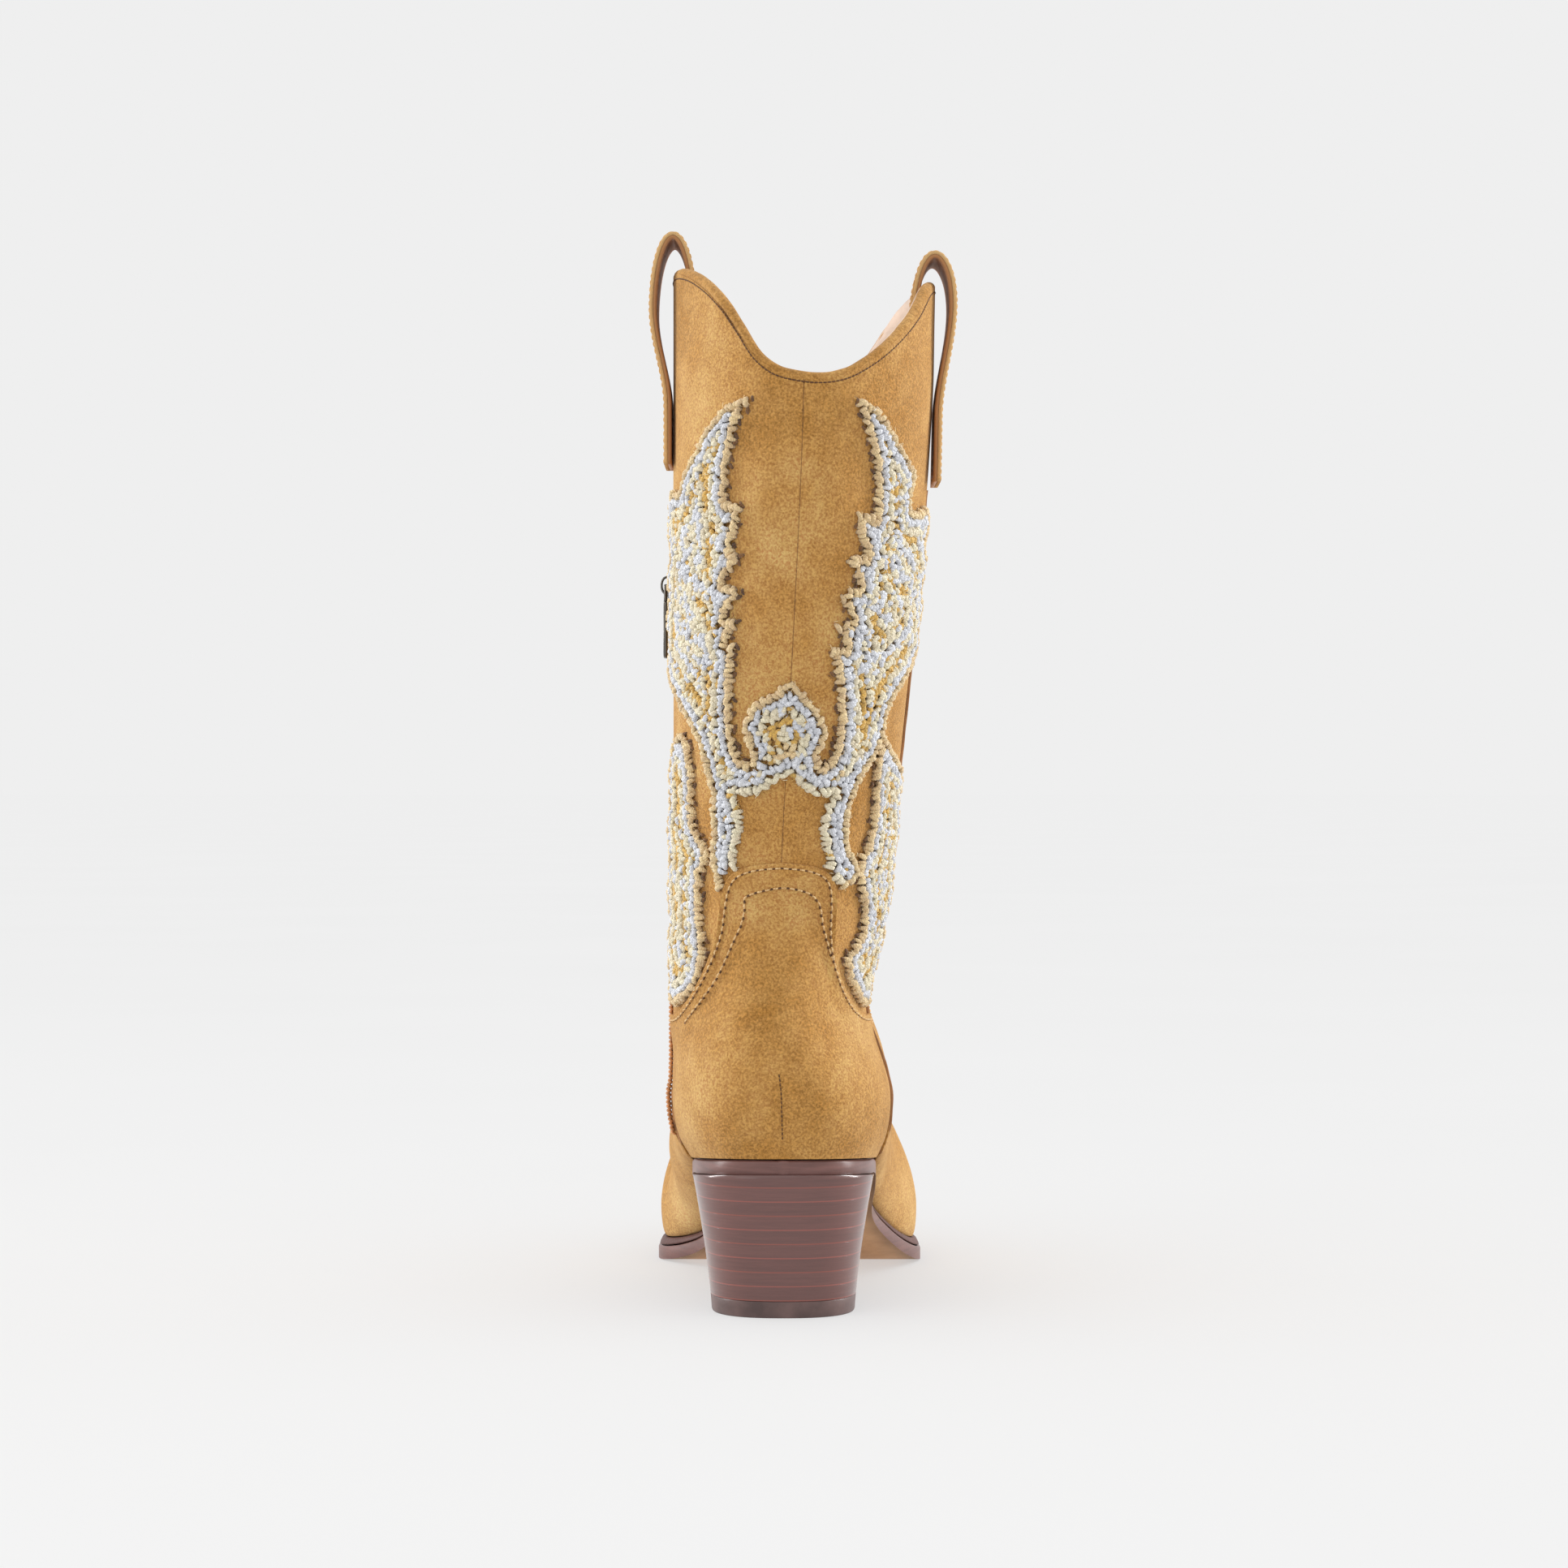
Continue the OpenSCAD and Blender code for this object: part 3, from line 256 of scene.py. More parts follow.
def back_top(a, sizes):
    """Topline height round the back: it dips near the back seam, with a full shoulder on the inner side."""
    top = np.where(a > DIP_ANGLE, peak(MEDIAL, sizes), peak(LATERAL, sizes))
    return BACK_DIP + (top - BACK_DIP) * at(BACK_RISE, a, 1)


def front_top(a, sizes):
    """Topline height round the front, by share of the section."""
    top = np.where(a < 0, peak(MEDIAL, sizes), peak(LATERAL, sizes))
    return FRONT_DIP + (top - FRONT_DIP) * at(FRONT_RISE, np.abs(a), 1)


def arc_table(place, rows, params):
    """For each row of a skin, the parameter at every signed arc distance from its middle, and the half
    lengths."""
    p = place(rows[:, None], params[None, :])
    steps = np.linalg.norm(np.diff(p, axis=1), axis=2)
    run = np.concatenate([np.zeros((len(rows), 1)), np.cumsum(steps, 1)], 1)
    run -= run[:, len(params) // 2][:, None]
    arcs = np.linspace(-96, 96, 385)
    return rows, arcs, np.array([np.interp(arcs, r, params) for r in run]), run


def look_up(table, row, arc):
    """Parameter at a row and arc distance, bilinear in an arc_table."""
    rows, arcs, grid, _ = table
    i = np.clip((np.asarray(row, float) - rows[0]) / (rows[1] - rows[0]), 0, len(rows) - 1.001)
    j = np.clip((np.asarray(arc, float) - arcs[0]) / (arcs[1] - arcs[0]), 0, len(arcs) - 1.001)
    a, b = i.astype(int), j.astype(int)
    u, v = i - a, j - b
    return mix(mix(grid[a, b], grid[a, b + 1], v), mix(grid[a + 1, b], grid[a + 1, b + 1], v), u)


# The rear table counts angles from medial (180) to lateral (0), so that arcs grow to the lateral side.
REAR_ARC = arc_table(rear, np.arange(48.0, 367.0, 2.0), np.linspace(180, 0, 721))
FRONT_ARC = arc_table(front, np.arange(-60.0, 216.0, 2.0), np.linspace(-1, 1, 601))


def counter_top(a):
    """Height of the counter cover's upper edge at rear angle a."""
    row = REAR_ARC[3][int((115 - 48) / 2)]
    return at(COUNTER_TOP, np.abs(np.interp(-np.asarray(a, float), -np.linspace(180, 0, 721), row)), 1)


def seam_angle(z, d):
    """Rear angle at which the skin is d behind the side seam."""
    return np.degrees(np.arcsin(np.clip((d / (SEAM_Y - at(BACK, z, 1))) ** (at(BACK, z, 4) / 2), 0, 1)))


def slot(z, sizes):
    """Half width of the zip opening: it closes above the top stop and at the sole."""
    return mix(0.1, sizes.zip_slot / MM, smooth((z - 54) / 5) * (1 - smooth((z - 258) / 7)))


def edge_share(s, d):
    """Share of a front section at which the skin is d in front of the side seam."""
    qm = np.minimum(at(FRONT, s, 7), 1)
    split = 1 - 0.9 * (1 - qm)
    k = 1 - d / (at(FRONT, s, 1) - SEAM_Y)
    low = split + (1 - split) * np.degrees(np.arcsin(np.clip((k - qm) / np.maximum(1 - qm, 1e-6), 0, 1))) / 90
    high = split * np.degrees(np.arccos(np.clip(1 - k / qm, 0, 1) ** (at(FRONT, s, 8) / 2))) / 90
    return np.where(k >= qm, low, high)


# ---- meshes --------------------------------------------------------------------------------

def grid_faces(m, n, wrap_rows=False, wrap_columns=False):
    """Quads of an m by n grid of points, joined end to end along the wrapped directions."""
    i = np.arange(m if wrap_rows else m - 1)[:, None]
    j = np.arange(n if wrap_columns else n - 1)[None, :]
    i2, j2 = (i + 1) % m, (j + 1) % n
    return np.stack([i * n + j, i * n + j2, i2 * n + j2, i2 * n + j], -1).reshape(-1, 4)


def shell_mesh(outer, inner):
    """A closed shell between two equal grids: outer quads, inner quads turned round, and the rim."""
    m, n = outer.shape[:2]
    k, f = m * n, grid_faces(m, n)
    rim = np.concatenate([np.arange(n), np.arange(1, m) * n + n - 1, (m - 1) * n + np.arange(n - 2, -1, -1),
                          np.arange(m - 2, 0, -1) * n])
    nxt = np.roll(rim, -1)
    side = np.stack([nxt, rim, rim + k, nxt + k], -1)
    return np.concatenate([outer.reshape(-1, 3), inner.reshape(-1, 3)]), [f, f[:, ::-1] + k, side]


def tube_mesh(path, across, out, radii, sides=8, closed=False, power=1.0):
    """Rings of a superellipse carried along a path: each ring is path + r1 cos k * across + r2 sin k * out.
    Open ends are closed by a fan of one face."""
    k = np.linspace(0, 2 * np.pi, sides, endpoint=False)
    c, s = np.sign(np.cos(k)) * np.abs(np.cos(k)) ** power, np.sign(np.sin(k)) * np.abs(np.sin(k)) ** power
    radii = np.broadcast_to(np.asarray(radii, float), (len(path), 2))
    wide = radii[:, None, :1] * c[:, None] * across[:, None]
    pts = path[:, None] + wide + radii[:, None, 1:] * s[:, None] * out[:, None]
    faces = [grid_faces(len(path), sides, closed, True)[:, ::-1]]
    if not closed:
        last = (len(path) - 1) * sides
        faces.append(np.stack([np.arange(sides), np.arange(last + sides - 1, last - 1, -1)]))
    return pts.reshape(-1, 3), faces


def join(parts):
    """Several (points, faces) as one."""
    points, faces, start = [], [], 0
    for p, f in parts:
        points.append(p)
        faces += [q + start for q in f]
        start += len(p)
    return np.concatenate(points), faces


def outwards(points, faces):
    """The faces, turned round if the closed surface they make has a negative volume."""
    volume = sum(np.einsum("ij,ij->", points[q[:, 0]], np.cross(points[q[:, k]], points[q[:, k + 1]]))
                 for q in faces for k in range(1, q.shape[1] - 1))
    return faces if volume > 0 else [q[:, ::-1] for q in faces]


def add_piece(name, mesh_data, material, replaces=(), body="boot", uv=None, marks=None,
              flat=False):
    """Puts points in mm and face arrays into a mesh at the origin, with its material and body, and hides the
    CAD node that it replaces."""
    points, faces = mesh_data
    faces = outwards(points, faces)
    sizes = np.concatenate([np.full(len(q), q.shape[1]) for q in faces])
    corners = np.concatenate([q.ravel() for q in faces])
    mesh = bpy.data.meshes.new(name)
    mesh.vertices.add(len(points))
    mesh.vertices.foreach_set("co", (points * MM).astype(np.float32).ravel())
    mesh.loops.add(len(corners))
    mesh.loops.foreach_set("vertex_index", corners.astype(np.int32))
    mesh.polygons.add(len(sizes))
    mesh.polygons.foreach_set("loop_start", (np.cumsum(sizes) - sizes).astype(np.int32))
    mesh.update(calc_edges=True)
    if uv is not None:
        index = np.empty(len(mesh.loops), np.int32)
        mesh.loops.foreach_get("vertex_index", index)
        mesh.uv_layers.new(name="UVMap").data.foreach_set("uv", np.asarray(uv, np.float32)[index].ravel())
    for key, values in (marks or {}).items():
        layer = mesh.attributes.new(key, "FLOAT", "POINT")
        layer.data.foreach_set("value", np.asarray(values, np.float32).ravel())
    mesh.polygons.foreach_set("use_smooth", np.full(len(mesh.polygons), not flat))
    mesh.validate()
    mesh.update()
    obj = bpy.data.objects.new(name, mesh)
    bpy.context.scene.collection.objects.link(obj)
    mesh.materials.append(material)
    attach(obj, body)
    if replaces:
        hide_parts(*([replaces] if isinstance(replaces, str) else replaces))
    return obj


def edged(count, length, radius, first=True, last=True):
    """Steps from 0 to 1 over a length, drawn together at the edges where the panel rolls over."""
    close = radius / length * np.array([0, 0.12, 0.3, 0.55, 0.8, 1.0])
    t = np.linspace(0, 1, count)
    keep = t[(t > (close[-1] * 1.2 if first else -1)) & (t < (1 - close[-1] * 1.2 if last else 2))]
    return np.unique(np.concatenate([close if first else [0.0], keep, 1 - close if last else [1.0]]))


def edge_distance(points, edges):
    """Distance in mm of each grid point from the nearest of the chosen edges: 'b' row 0, 't' last row,
    'l' column 0, 'r' last column, each measured along the grid."""
    up = np.linalg.norm(np.diff(points, axis=0), axis=2)
    along = np.linalg.norm(np.diff(points, axis=1), axis=2)
    rows = np.concatenate([np.zeros((1, points.shape[1])), np.cumsum(up, 0)])
    cols = np.concatenate([np.zeros((points.shape[0], 1)), np.cumsum(along, 1)], 1)
    parts = {"b": rows, "t": rows[-1:] - rows, "l": cols, "r": cols[:, -1:] - cols}
    return np.min([parts[e] for e in edges] + [np.full(rows.shape, 1e3)], 0)


def waves(points, size, seed):
    """Soft uneven swells between -1 and 1: the mean of eight sines of different directions, about `size` mm
    long."""
    rng = np.random.default_rng(seed)
    k = unit(rng.normal(size=(8, 3))) * (2 * np.pi / size * rng.uniform(0.6, 1.5, (8, 1)))
    return np.mean(np.sin(points @ k.T + rng.uniform(0, 6.28, 8)), -1) * 1.7


def panel(place, rows, cols, thickness, radius=1.4, drop=0.9, edges="btlr", depth=0.0, lift=None, seed=1):
    """A leather panel between two depths of a skin. Near its edges the outer face rolls over by
    drop * (1 - sqrt(1 - (1 - d/radius)^2)), and low swells keep it from being drawn with a ruler."""
    r, c = np.meshgrid(rows, cols, indexing="ij")
    base = place(r, c, np.zeros(r.shape))
    d = np.clip(edge_distance(base, edges) / radius, 0, 1)
    roll = drop * (1 - np.sqrt(np.maximum(1 - (1 - d) ** 2, 0)))
    swell = 0.22 * waves(base, 46, seed) * smooth(edge_distance(base, "btlr") / 8)
    off = -depth - roll + swell
    if lift is not None:
        off = off + lift(base)
    return shell_mesh(place(r, c, off), place(r, c, np.minimum(-depth - thickness + 0 * r, off - 0.1)))


# ---- materials -----------------------------------------------------------------------------

def hex_colour(code):
    """An sRGB hex value as linear RGBA."""
    c = np.array([int(code[i:i + 2], 16) for i in (0, 2, 4)]) / 255
    return (*np.where(c <= 0.04045, c / 12.92, ((c + 0.055) / 1.055) ** 2.4).tolist(), 1.0)


def node(tree, kind, inputs=None, **settings):
    """Adds a node, with its settings, and its inputs as values or as links from other nodes' sockets."""
    n = tree.nodes.new("ShaderNode" + kind)
    for key, value in settings.items():
        setattr(n, key, value)
    for key, value in (inputs or {}).items():
        socket = n.inputs[key]
        if isinstance(value, bpy.types.NodeSocket):
            tree.links.new(value, socket)
        else:
            socket.default_value = value
    return n


def new_material(name):
    """An empty material with its output, and the Object coordinates of its patterns."""
    mat = bpy.data.materials.new(name)
    mat.use_nodes = True
    tree = mat.node_tree
    tree.nodes.clear()
    return mat, tree, node(tree, "TexCoord").outputs["Object"]


def finish_material(tree, **inputs):
    shader = node(tree, "BsdfPrincipled", {k.replace("_", " "): v for k, v in inputs.items()})
    node(tree, "OutputMaterial", {"Surface": shader.outputs[0]})


def noise(tree, where, millimetres, detail=3.0, rough=0.55, stretch=None):
    """Noise whose blotches are about so many millimetres across, stretched along axes if asked."""
    if stretch:
        where = node(tree, "Mapping", {"Vector": where, "Scale": stretch}).outputs[0]
    return node(tree, "TexNoise", {"Vector": where, "Scale": 1000 / millimetres, "Detail": detail,
                                   "Roughness": rough}).outputs["Fac"]


def ramp(tree, fac, *stops):
    """A colour ramp of (position, colour)."""
    n = node(tree, "ValToRGB", {"Fac": fac})
    while len(n.color_ramp.elements) < len(stops):
        n.color_ramp.elements.new(0.5)
    for e, (position, colour) in zip(n.color_ramp.elements, stops):
        e.position, e.color = position, colour
    return n.outputs["Color"]


def blend_colour(tree, fac, a, b, kind="MIX"):
    n = node(tree, "Mix", {0: fac, 6: a, 7: b}, data_type="RGBA", blend_type=kind)
    return n.outputs[2]


def bump(tree, height, millimetres, normal=None, strength=1.0):
    inputs = {"Height": height, "Distance": millimetres * MM, "Strength": strength}
    if normal is not None:
        inputs["Normal"] = normal
    return node(tree, "Bump", inputs).outputs[0]


def math_node(tree, operation, a, b=0.0, clamp=False):
    return node(tree, "Math", {0: a, 1: b}, operation=operation, use_clamp=clamp).outputs[0]


def suede(name, light, mid, dark, nap, edge=None, contrast=1.0):
    """Cow suede, buffed on the flesh side: a short crinkled nap of fine light and dark grains over soft
    hand-brushed blotches, no gloss, and a bloom at grazing angles from the standing fibres."""
    mat, tree, where = new_material(name)
    blotch = noise(tree, where, 40, 3.0, 0.5)
    colour = ramp(tree, blotch, (0.22, dark), (0.5, mid), (0.8, light))
    brush = noise(tree, where, 10, 3.0, 0.6)
    colour = blend_colour(tree, 0.16 * contrast, colour, ramp(tree, brush, (0.35, dark), (0.65, light)))
    grain = noise(tree, where, nap, 4.0, 0.72)
    fine = noise(tree, where, nap * 0.45, 2.0, 0.6)
    speck = ramp(tree, grain, (0.38, (0.20, 0.17, 0.13, 1)), (0.5, (0.5, 0.5, 0.5, 1)),
                 (0.62, (0.82, 0.84, 0.88, 1)))
    colour = blend_colour(tree, 0.55 * contrast, colour, speck, "OVERLAY")
    if edge is not None:
        wear = node(tree, "Attribute", attribute_name="edge").outputs["Fac"]
        colour = blend_colour(tree, wear, colour, edge)
    normal = bump(tree, grain, 0.55, bump(tree, fine, 0.25, bump(tree, brush, 0.5)))
    finish_material(tree, Base_Color=colour, Roughness=0.95, Normal=normal, Sheen_Weight=0.3,
                    Sheen_Roughness=0.45, Sheen_Tint=hex_colour("FBEBD0"), Specular_IOR_Level=0.12)
    return mat


def leather(name, light, dark, grain, rough=0.55, edge=None, depth=0.12):
    """Lining and strap leather: pigmented grain leather, with fine pebbles and a dull finish."""
    mat, tree, where = new_material(name)
    colour = ramp(tree, noise(tree, where, 18, 4.0), (0.35, dark), (0.65, light))
    pebble = node(tree, "TexVoronoi", {"Vector": where, "Scale": 1000 / grain,
                                       "Randomness": 0.9}).outputs["Distance"]
    colour = blend_colour(tree, math_node(tree, "MULTIPLY", pebble, 0.35), colour, dark)
    if edge is not None:
        colour = blend_colour(tree, node(tree, "Attribute", attribute_name="edge").outputs["Fac"], colour,
                              edge)
    normal = bump(tree, pebble, depth, bump(tree, noise(tree, where, 6), 0.3))
    finish_material(tree, Base_Color=colour, Roughness=rough, Normal=normal, Specular_IOR_Level=0.3)
    return mat


def yarn(name, low, high, root):
    """Fluffy two-ply wool and acrylic yarn: each loop has its own tint, its plies show as slanting stripes,
    stray fibres soften it, and painted shade darkens it towards the root colour down near the suede."""
    mat, tree, where = new_material(name)
    tint = node(tree, "Attribute", attribute_name="tint").outputs["Fac"]
    colour = blend_colour(tree, tint, low, high)
    uv = node(tree, "UVMap").outputs[0]
    ply = node(tree, "TexWave", {"Vector": node(tree, "Mapping",
                                                {"Vector": uv, "Scale": (9.0, 2.0, 1.0)}).outputs[0],
                                 "Scale": 0.6, "Distortion": 1.2, "Detail": 1.0}, wave_type="BANDS",
               bands_direction="DIAGONAL").outputs["Fac"]
    fluff = noise(tree, where, 0.7, 3.0, 0.7)
    colour = blend_colour(tree, ramp(tree, fluff, (0.35, (0.45, 0.45, 0.45, 1)), (0.55, (0, 0, 0, 1))),
                          colour, root)
    colour = blend_colour(tree, math_node(tree, "MULTIPLY", ply, 0.14), colour, root)
    # Painted shade: low down on the loop (small rise) the colour is darkened towards the root colour.
    rise = node(tree, "Attribute", attribute_name="rise").outputs["Fac"]
    colour = blend_colour(tree, ramp(tree, rise, (0.0, (0.8, 0.8, 0.8, 1)), (0.6, (0, 0, 0, 1))), colour,
                          root)
    normal = bump(tree, ply, 0.2, bump(tree, fluff, 0.35))
    finish_material(tree, Base_Color=colour, Roughness=0.9, Normal=normal, Sheen_Weight=0.35,
                    Sheen_Roughness=0.6, Specular_IOR_Level=0.1)
    return mat


def thread(name, colour, dark):
    """Bonded nylon sewing thread, slightly waxed, with a fine twist."""
    mat, tree, where = new_material(name)
    twist = noise(tree, where, 0.5, 2.0)
    finish_material(tree, Base_Color=ramp(tree, twist, (0.35, dark), (0.6, colour)), Roughness=0.6,
                    Normal=bump(tree, twist, 0.1))
    return mat


def metal(name, colour, rough, scratch):
    """Polished nickel plate on zinc: bright, mirror-like, with hairline scratches from wear."""
    mat, tree, where = new_material(name)
    hair = noise(tree, where, 0.6, 3.0, 0.7, stretch=(1, 1, 0.08))
    mark = ramp(tree, hair, (0.45, (rough, rough, rough, 1)), (0.75, (rough + scratch,) * 3 + (1,)))
    finish_material(tree, Base_Color=colour, Metallic=1.0, Roughness=mark, Normal=bump(tree, hair, 0.01))
    return mat


def nylon(name, light, dark, rough=0.45):
    """Dyed polyester coil and its crimp, semi-gloss with a slight mottling from the dye."""
    mat, tree, where = new_material(name)
    mottle = noise(tree, where, 1.6, 3.0)
    finish_material(tree, Base_Color=ramp(tree, mottle, (0.35, dark), (0.62, light)), Roughness=rough,
                    Normal=bump(tree, mottle, 0.08))
    return mat


def twill(name, light, dark, pitch):
    """Woven polyester zip tape: a herringbone twill, drawn at a coarse thread pitch so that it shows."""
    mat, tree, where = new_material(name)
    warp = node(tree, "TexWave", {"Vector": where, "Scale": 1000 / pitch / 6.283 * 0.5, "Distortion": 0.4},
                bands_direction="Y").outputs["Fac"]
    weft = node(tree, "TexWave", {"Vector": where, "Scale": 1000 / pitch / 6.283 * 0.5, "Distortion": 0.4},
                bands_direction="DIAGONAL").outputs["Fac"]
    weave = math_node(tree, "MULTIPLY", warp, weft)
    finish_material(tree, Base_Color=ramp(tree, weave, (0.1, dark), (0.6, light)), Roughness=0.85,
                    Normal=bump(tree, weave, 0.15))
    return mat


def stacked_leather(name, light, dark, line):
    """Stacked heel lifts, sanded flush, stained oxblood brown and burnished with wax: fine level fibre
    streaks, thin glue lines, and a glossy clear coat."""
    mat, tree, where = new_material(name)
    streak = noise(tree, where, 7, 5.0, 0.65, stretch=(0.35, 0.35, 7.0))
    fibre = noise(tree, where, 1.6, 3.0, 0.7, stretch=(0.5, 0.5, 5.0))
    colour = ramp(tree, streak, (0.32, dark), (0.66, light))
    colour = blend_colour(tree, ramp(tree, fibre, (0.45, (0, 0, 0, 1)), (0.75, (0.5, 0.5, 0.5, 1))), colour,
                          dark)
    seam = node(tree, "Attribute", attribute_name="edge").outputs["Fac"]
    colour = blend_colour(tree, seam, colour, line)
    normal = bump(tree, streak, 0.05, bump(tree, fibre, 0.03))
    finish_material(tree, Base_Color=colour, Roughness=0.34, Normal=normal, Specular_IOR_Level=0.5,
                    Coat_Weight=0.75, Coat_Roughness=0.12)
    return mat


def rubber(name, light, dark):
    """Moulded top-lift rubber: dark, satin, with a pitted ground edge."""
    mat, tree, where = new_material(name)
    pit = noise(tree, where, 1.0, 4.0, 0.7)
    finish_material(tree, Base_Color=ramp(tree, noise(tree, where, 12), (0.35, dark), (0.65, light)),
                    Roughness=0.5, Normal=bump(tree, pit, 0.06), Coat_Weight=0.25, Coat_Roughness=0.25)
    return mat


def sole_leather(name, edge_light, edge_dark, under_light, under_dark):
    """Vegetable-tanned sole leather: natural tan underneath, and an edge that is stained and waxed."""
    mat, tree, where = new_material(name)
    under = ramp(tree, noise(tree, where, 22, 5.0, 0.6), (0.35, under_dark), (0.65, under_light))
    side = ramp(tree, noise(tree, where, 8, 4.0, 0.6, stretch=(0.4, 0.4, 5.0)), (0.35, edge_dark),
                (0.65, edge_light))
    mark = node(tree, "Attribute", attribute_name="edge").outputs["Fac"]
    fine = noise(tree, where, 1.2, 4.0, 0.7)
    finish_material(tree, Base_Color=blend_colour(tree, mark, under, side),
                    Roughness=ramp(tree, mark, (0.0, (0.6,) * 3 + (1,)), (1.0, (0.36,) * 3 + (1,))),
                    Normal=bump(tree, fine, 0.06))
    return mat


def board(name, light, dark):
    """Pressed fibre board, cork and steel inside the boot: matt, with a coarse fleck."""
    mat, tree, where = new_material(name)
    fleck = noise(tree, where, 2.5, 4.0, 0.7)
    finish_material(tree, Base_Color=ramp(tree, fleck, (0.35, dark), (0.62, light)), Roughness=0.85,
                    Normal=bump(tree, fleck, 0.15))
    return mat


def studio_paper(name, colour, glow):
    """Seamless studio paper that glows by a share: glow * strength + (1 - glow) * grey = 1, so that it
    matches the surround and only a soft contact shadow is left on it."""
    mat, tree, where = new_material(name)
    paper = ramp(tree, noise(tree, where, 400), (0.3, tuple(c * 0.99 for c in colour[:3]) + (1,)),
                 (0.7, colour))
    lit = node(tree, "BsdfDiffuse", {"Color": paper})
    shine = node(tree, "Emission", {"Color": paper, "Strength": (1 - (1 - glow) * colour[0]) / glow})
    both = node(tree, "MixShader", {0: glow, 1: lit.outputs[0], 2: shine.outputs[0]})
    node(tree, "OutputMaterial", {"Surface": both.outputs[0]})
    return mat


# ---- small repeated shapes -----------------------------------------------------------------

def arches(centre, along, normal, length, height, radius, rings=6, sides=5, sink=0.3):
    """Many bent tubes at once: each follows centre + length/2 cos t * along + height sin t * normal for t
    from 0 to pi, with a radius that swells to the middle; ends are closed by one face and sunk into the
    ground."""
    n = len(centre)
    spread = lambda v: np.broadcast_to(np.asarray(v, float), n)[:, None, None]
    length, height, radius = spread(length), spread(height), spread(radius)
    t = np.linspace(0, np.pi, rings)[None, :, None]
    a, m = along[:, None], normal[:, None]
    path = centre[:, None] + length / 2 * np.cos(t) * a + (height * np.sin(t) - sink) * m
    tangent = unit(-length / 2 * np.sin(t) * a + height * np.cos(t) * m)
    side = np.broadcast_to(unit(np.cross(normal, along))[:, None], path.shape)
    out = unit(np.cross(side, tangent))
    k = np.linspace(0, 2 * np.pi, sides, endpoint=False)[None, None, :, None]
    r = (radius * (0.62 + 0.38 * np.sin(t)))[:, :, None]
    points = path[:, :, None] + r * (np.cos(k) * side[:, :, None] + np.sin(k) * out[:, :, None])
    quads = grid_faces(rings, sides, False, True)
    caps = np.stack([np.arange(sides)[::-1], np.arange(sides) + (rings - 1) * sides])
    start = (np.arange(n) * rings * sides)[:, None, None]
    faces = [(quads[None] + start).reshape(-1, 4), (caps[None] + start).reshape(-1, sides)]
    rise = np.broadcast_to(np.sin(t)[:, :, :, None], (n, rings, sides, 1)).ravel()
    uv = np.stack(np.broadcast_arrays(t[..., None] / np.pi, k / 6.2832), -1)
    uv = np.broadcast_to(uv.reshape(1, rings, sides, 2), (n, rings, sides, 2)).reshape(-1, 2)
    return (points.reshape(-1, 3), faces), rise, uv


def run_stitches(place, path, pitch, length, radius, height=0.35, sink=0.15, first=0.5):
    """Stitches at an even pitch along a path of skin coordinates; place gives a point and its normal."""
    p, n = place(path)
    run = np.concatenate([[0], np.cumsum(np.linalg.norm(np.diff(p, axis=0), axis=1))])
    where = np.arange(pitch * first, run[-1], pitch)
    at_run = lambda v, d: np.stack([np.interp(where + d, run, v[:, i]) for i in range(3)], -1)
    along = unit(at_run(p, 0.3) - at_run(p, -0.3))
    normal = unit(at_run(n, 0))
    return arches(at_run(p, 0), along, normal, length, height, radius, rings=5, sides=5, sink=sink)[0]


def both_kinds(name, rows, thread_mat, hole_shade_mat):
    """Rows of thread stitches, and between them small dark marks that paint the shade of the needle holes
    pressed into the suede.
    """
    light, dark = [], []
    for place, path, pitch in rows:
        light.append(run_stitches(place, path, pitch, pitch * 0.62, 0.34, 0.46, 0.1))
        # Flat dark marks between the stitches: painted shade in the needle holes.
        dark.append(run_stitches(place, path, pitch, pitch * 0.34, 0.44, 0.06, 0.22, 0.0))
    add_piece(name + "_thread", join(light), thread_mat)
    add_piece(name + "_holes", join(dark), hole_shade_mat)


def rear_stitch_place(lift):
    def place(path):
        a = look_up(REAR_ARC, path[:, 1], path[:, 0])
        return rear_at(path[:, 1], a, lift + 0 * a), rear_normal(path[:, 1], a)
    return place


def rear_angle_place(lift):
    def place(path):
        z, a = path.T
        return rear_at(z, a, lift + 0 * z), rear_normal(z, a)
    return place


def front_share_place(lift):
    def place(path):
        s, a = path.T
        return front_at(s, a, lift + 0 * s), front_normal(s, a)
    return place


# ---- embroidery ----------------------------------------------------------------------------

# Rows of loops inwards from each kind of edge: colour and distance from the edge in mm.
ROWS = {
    0: (("tan", 1.4), ("blue", 4.2), ("cream", 7.2), ("gold", 10.0), ("cream", 12.8),
        ("blue", 15.8), ("cream", 18.8), ("gold", 21.6), ("cream", 24.4), ("blue", 27.4)),
    # The 'dark' row is painted shade: short dark loops for the shaded side of the pile along inward edges.
    1: (("dark", 0.6), ("tan", 2.5), ("blue", 5.4), ("cream", 8.4), ("gold", 11.2),
        ("cream", 14.0), ("blue", 17.0), ("cream", 20.0), ("gold", 22.8)),
    2: (("cream", 1.4), ("blue", 4.2), ("tan", 7.2), ("tan", 10.0)),
}


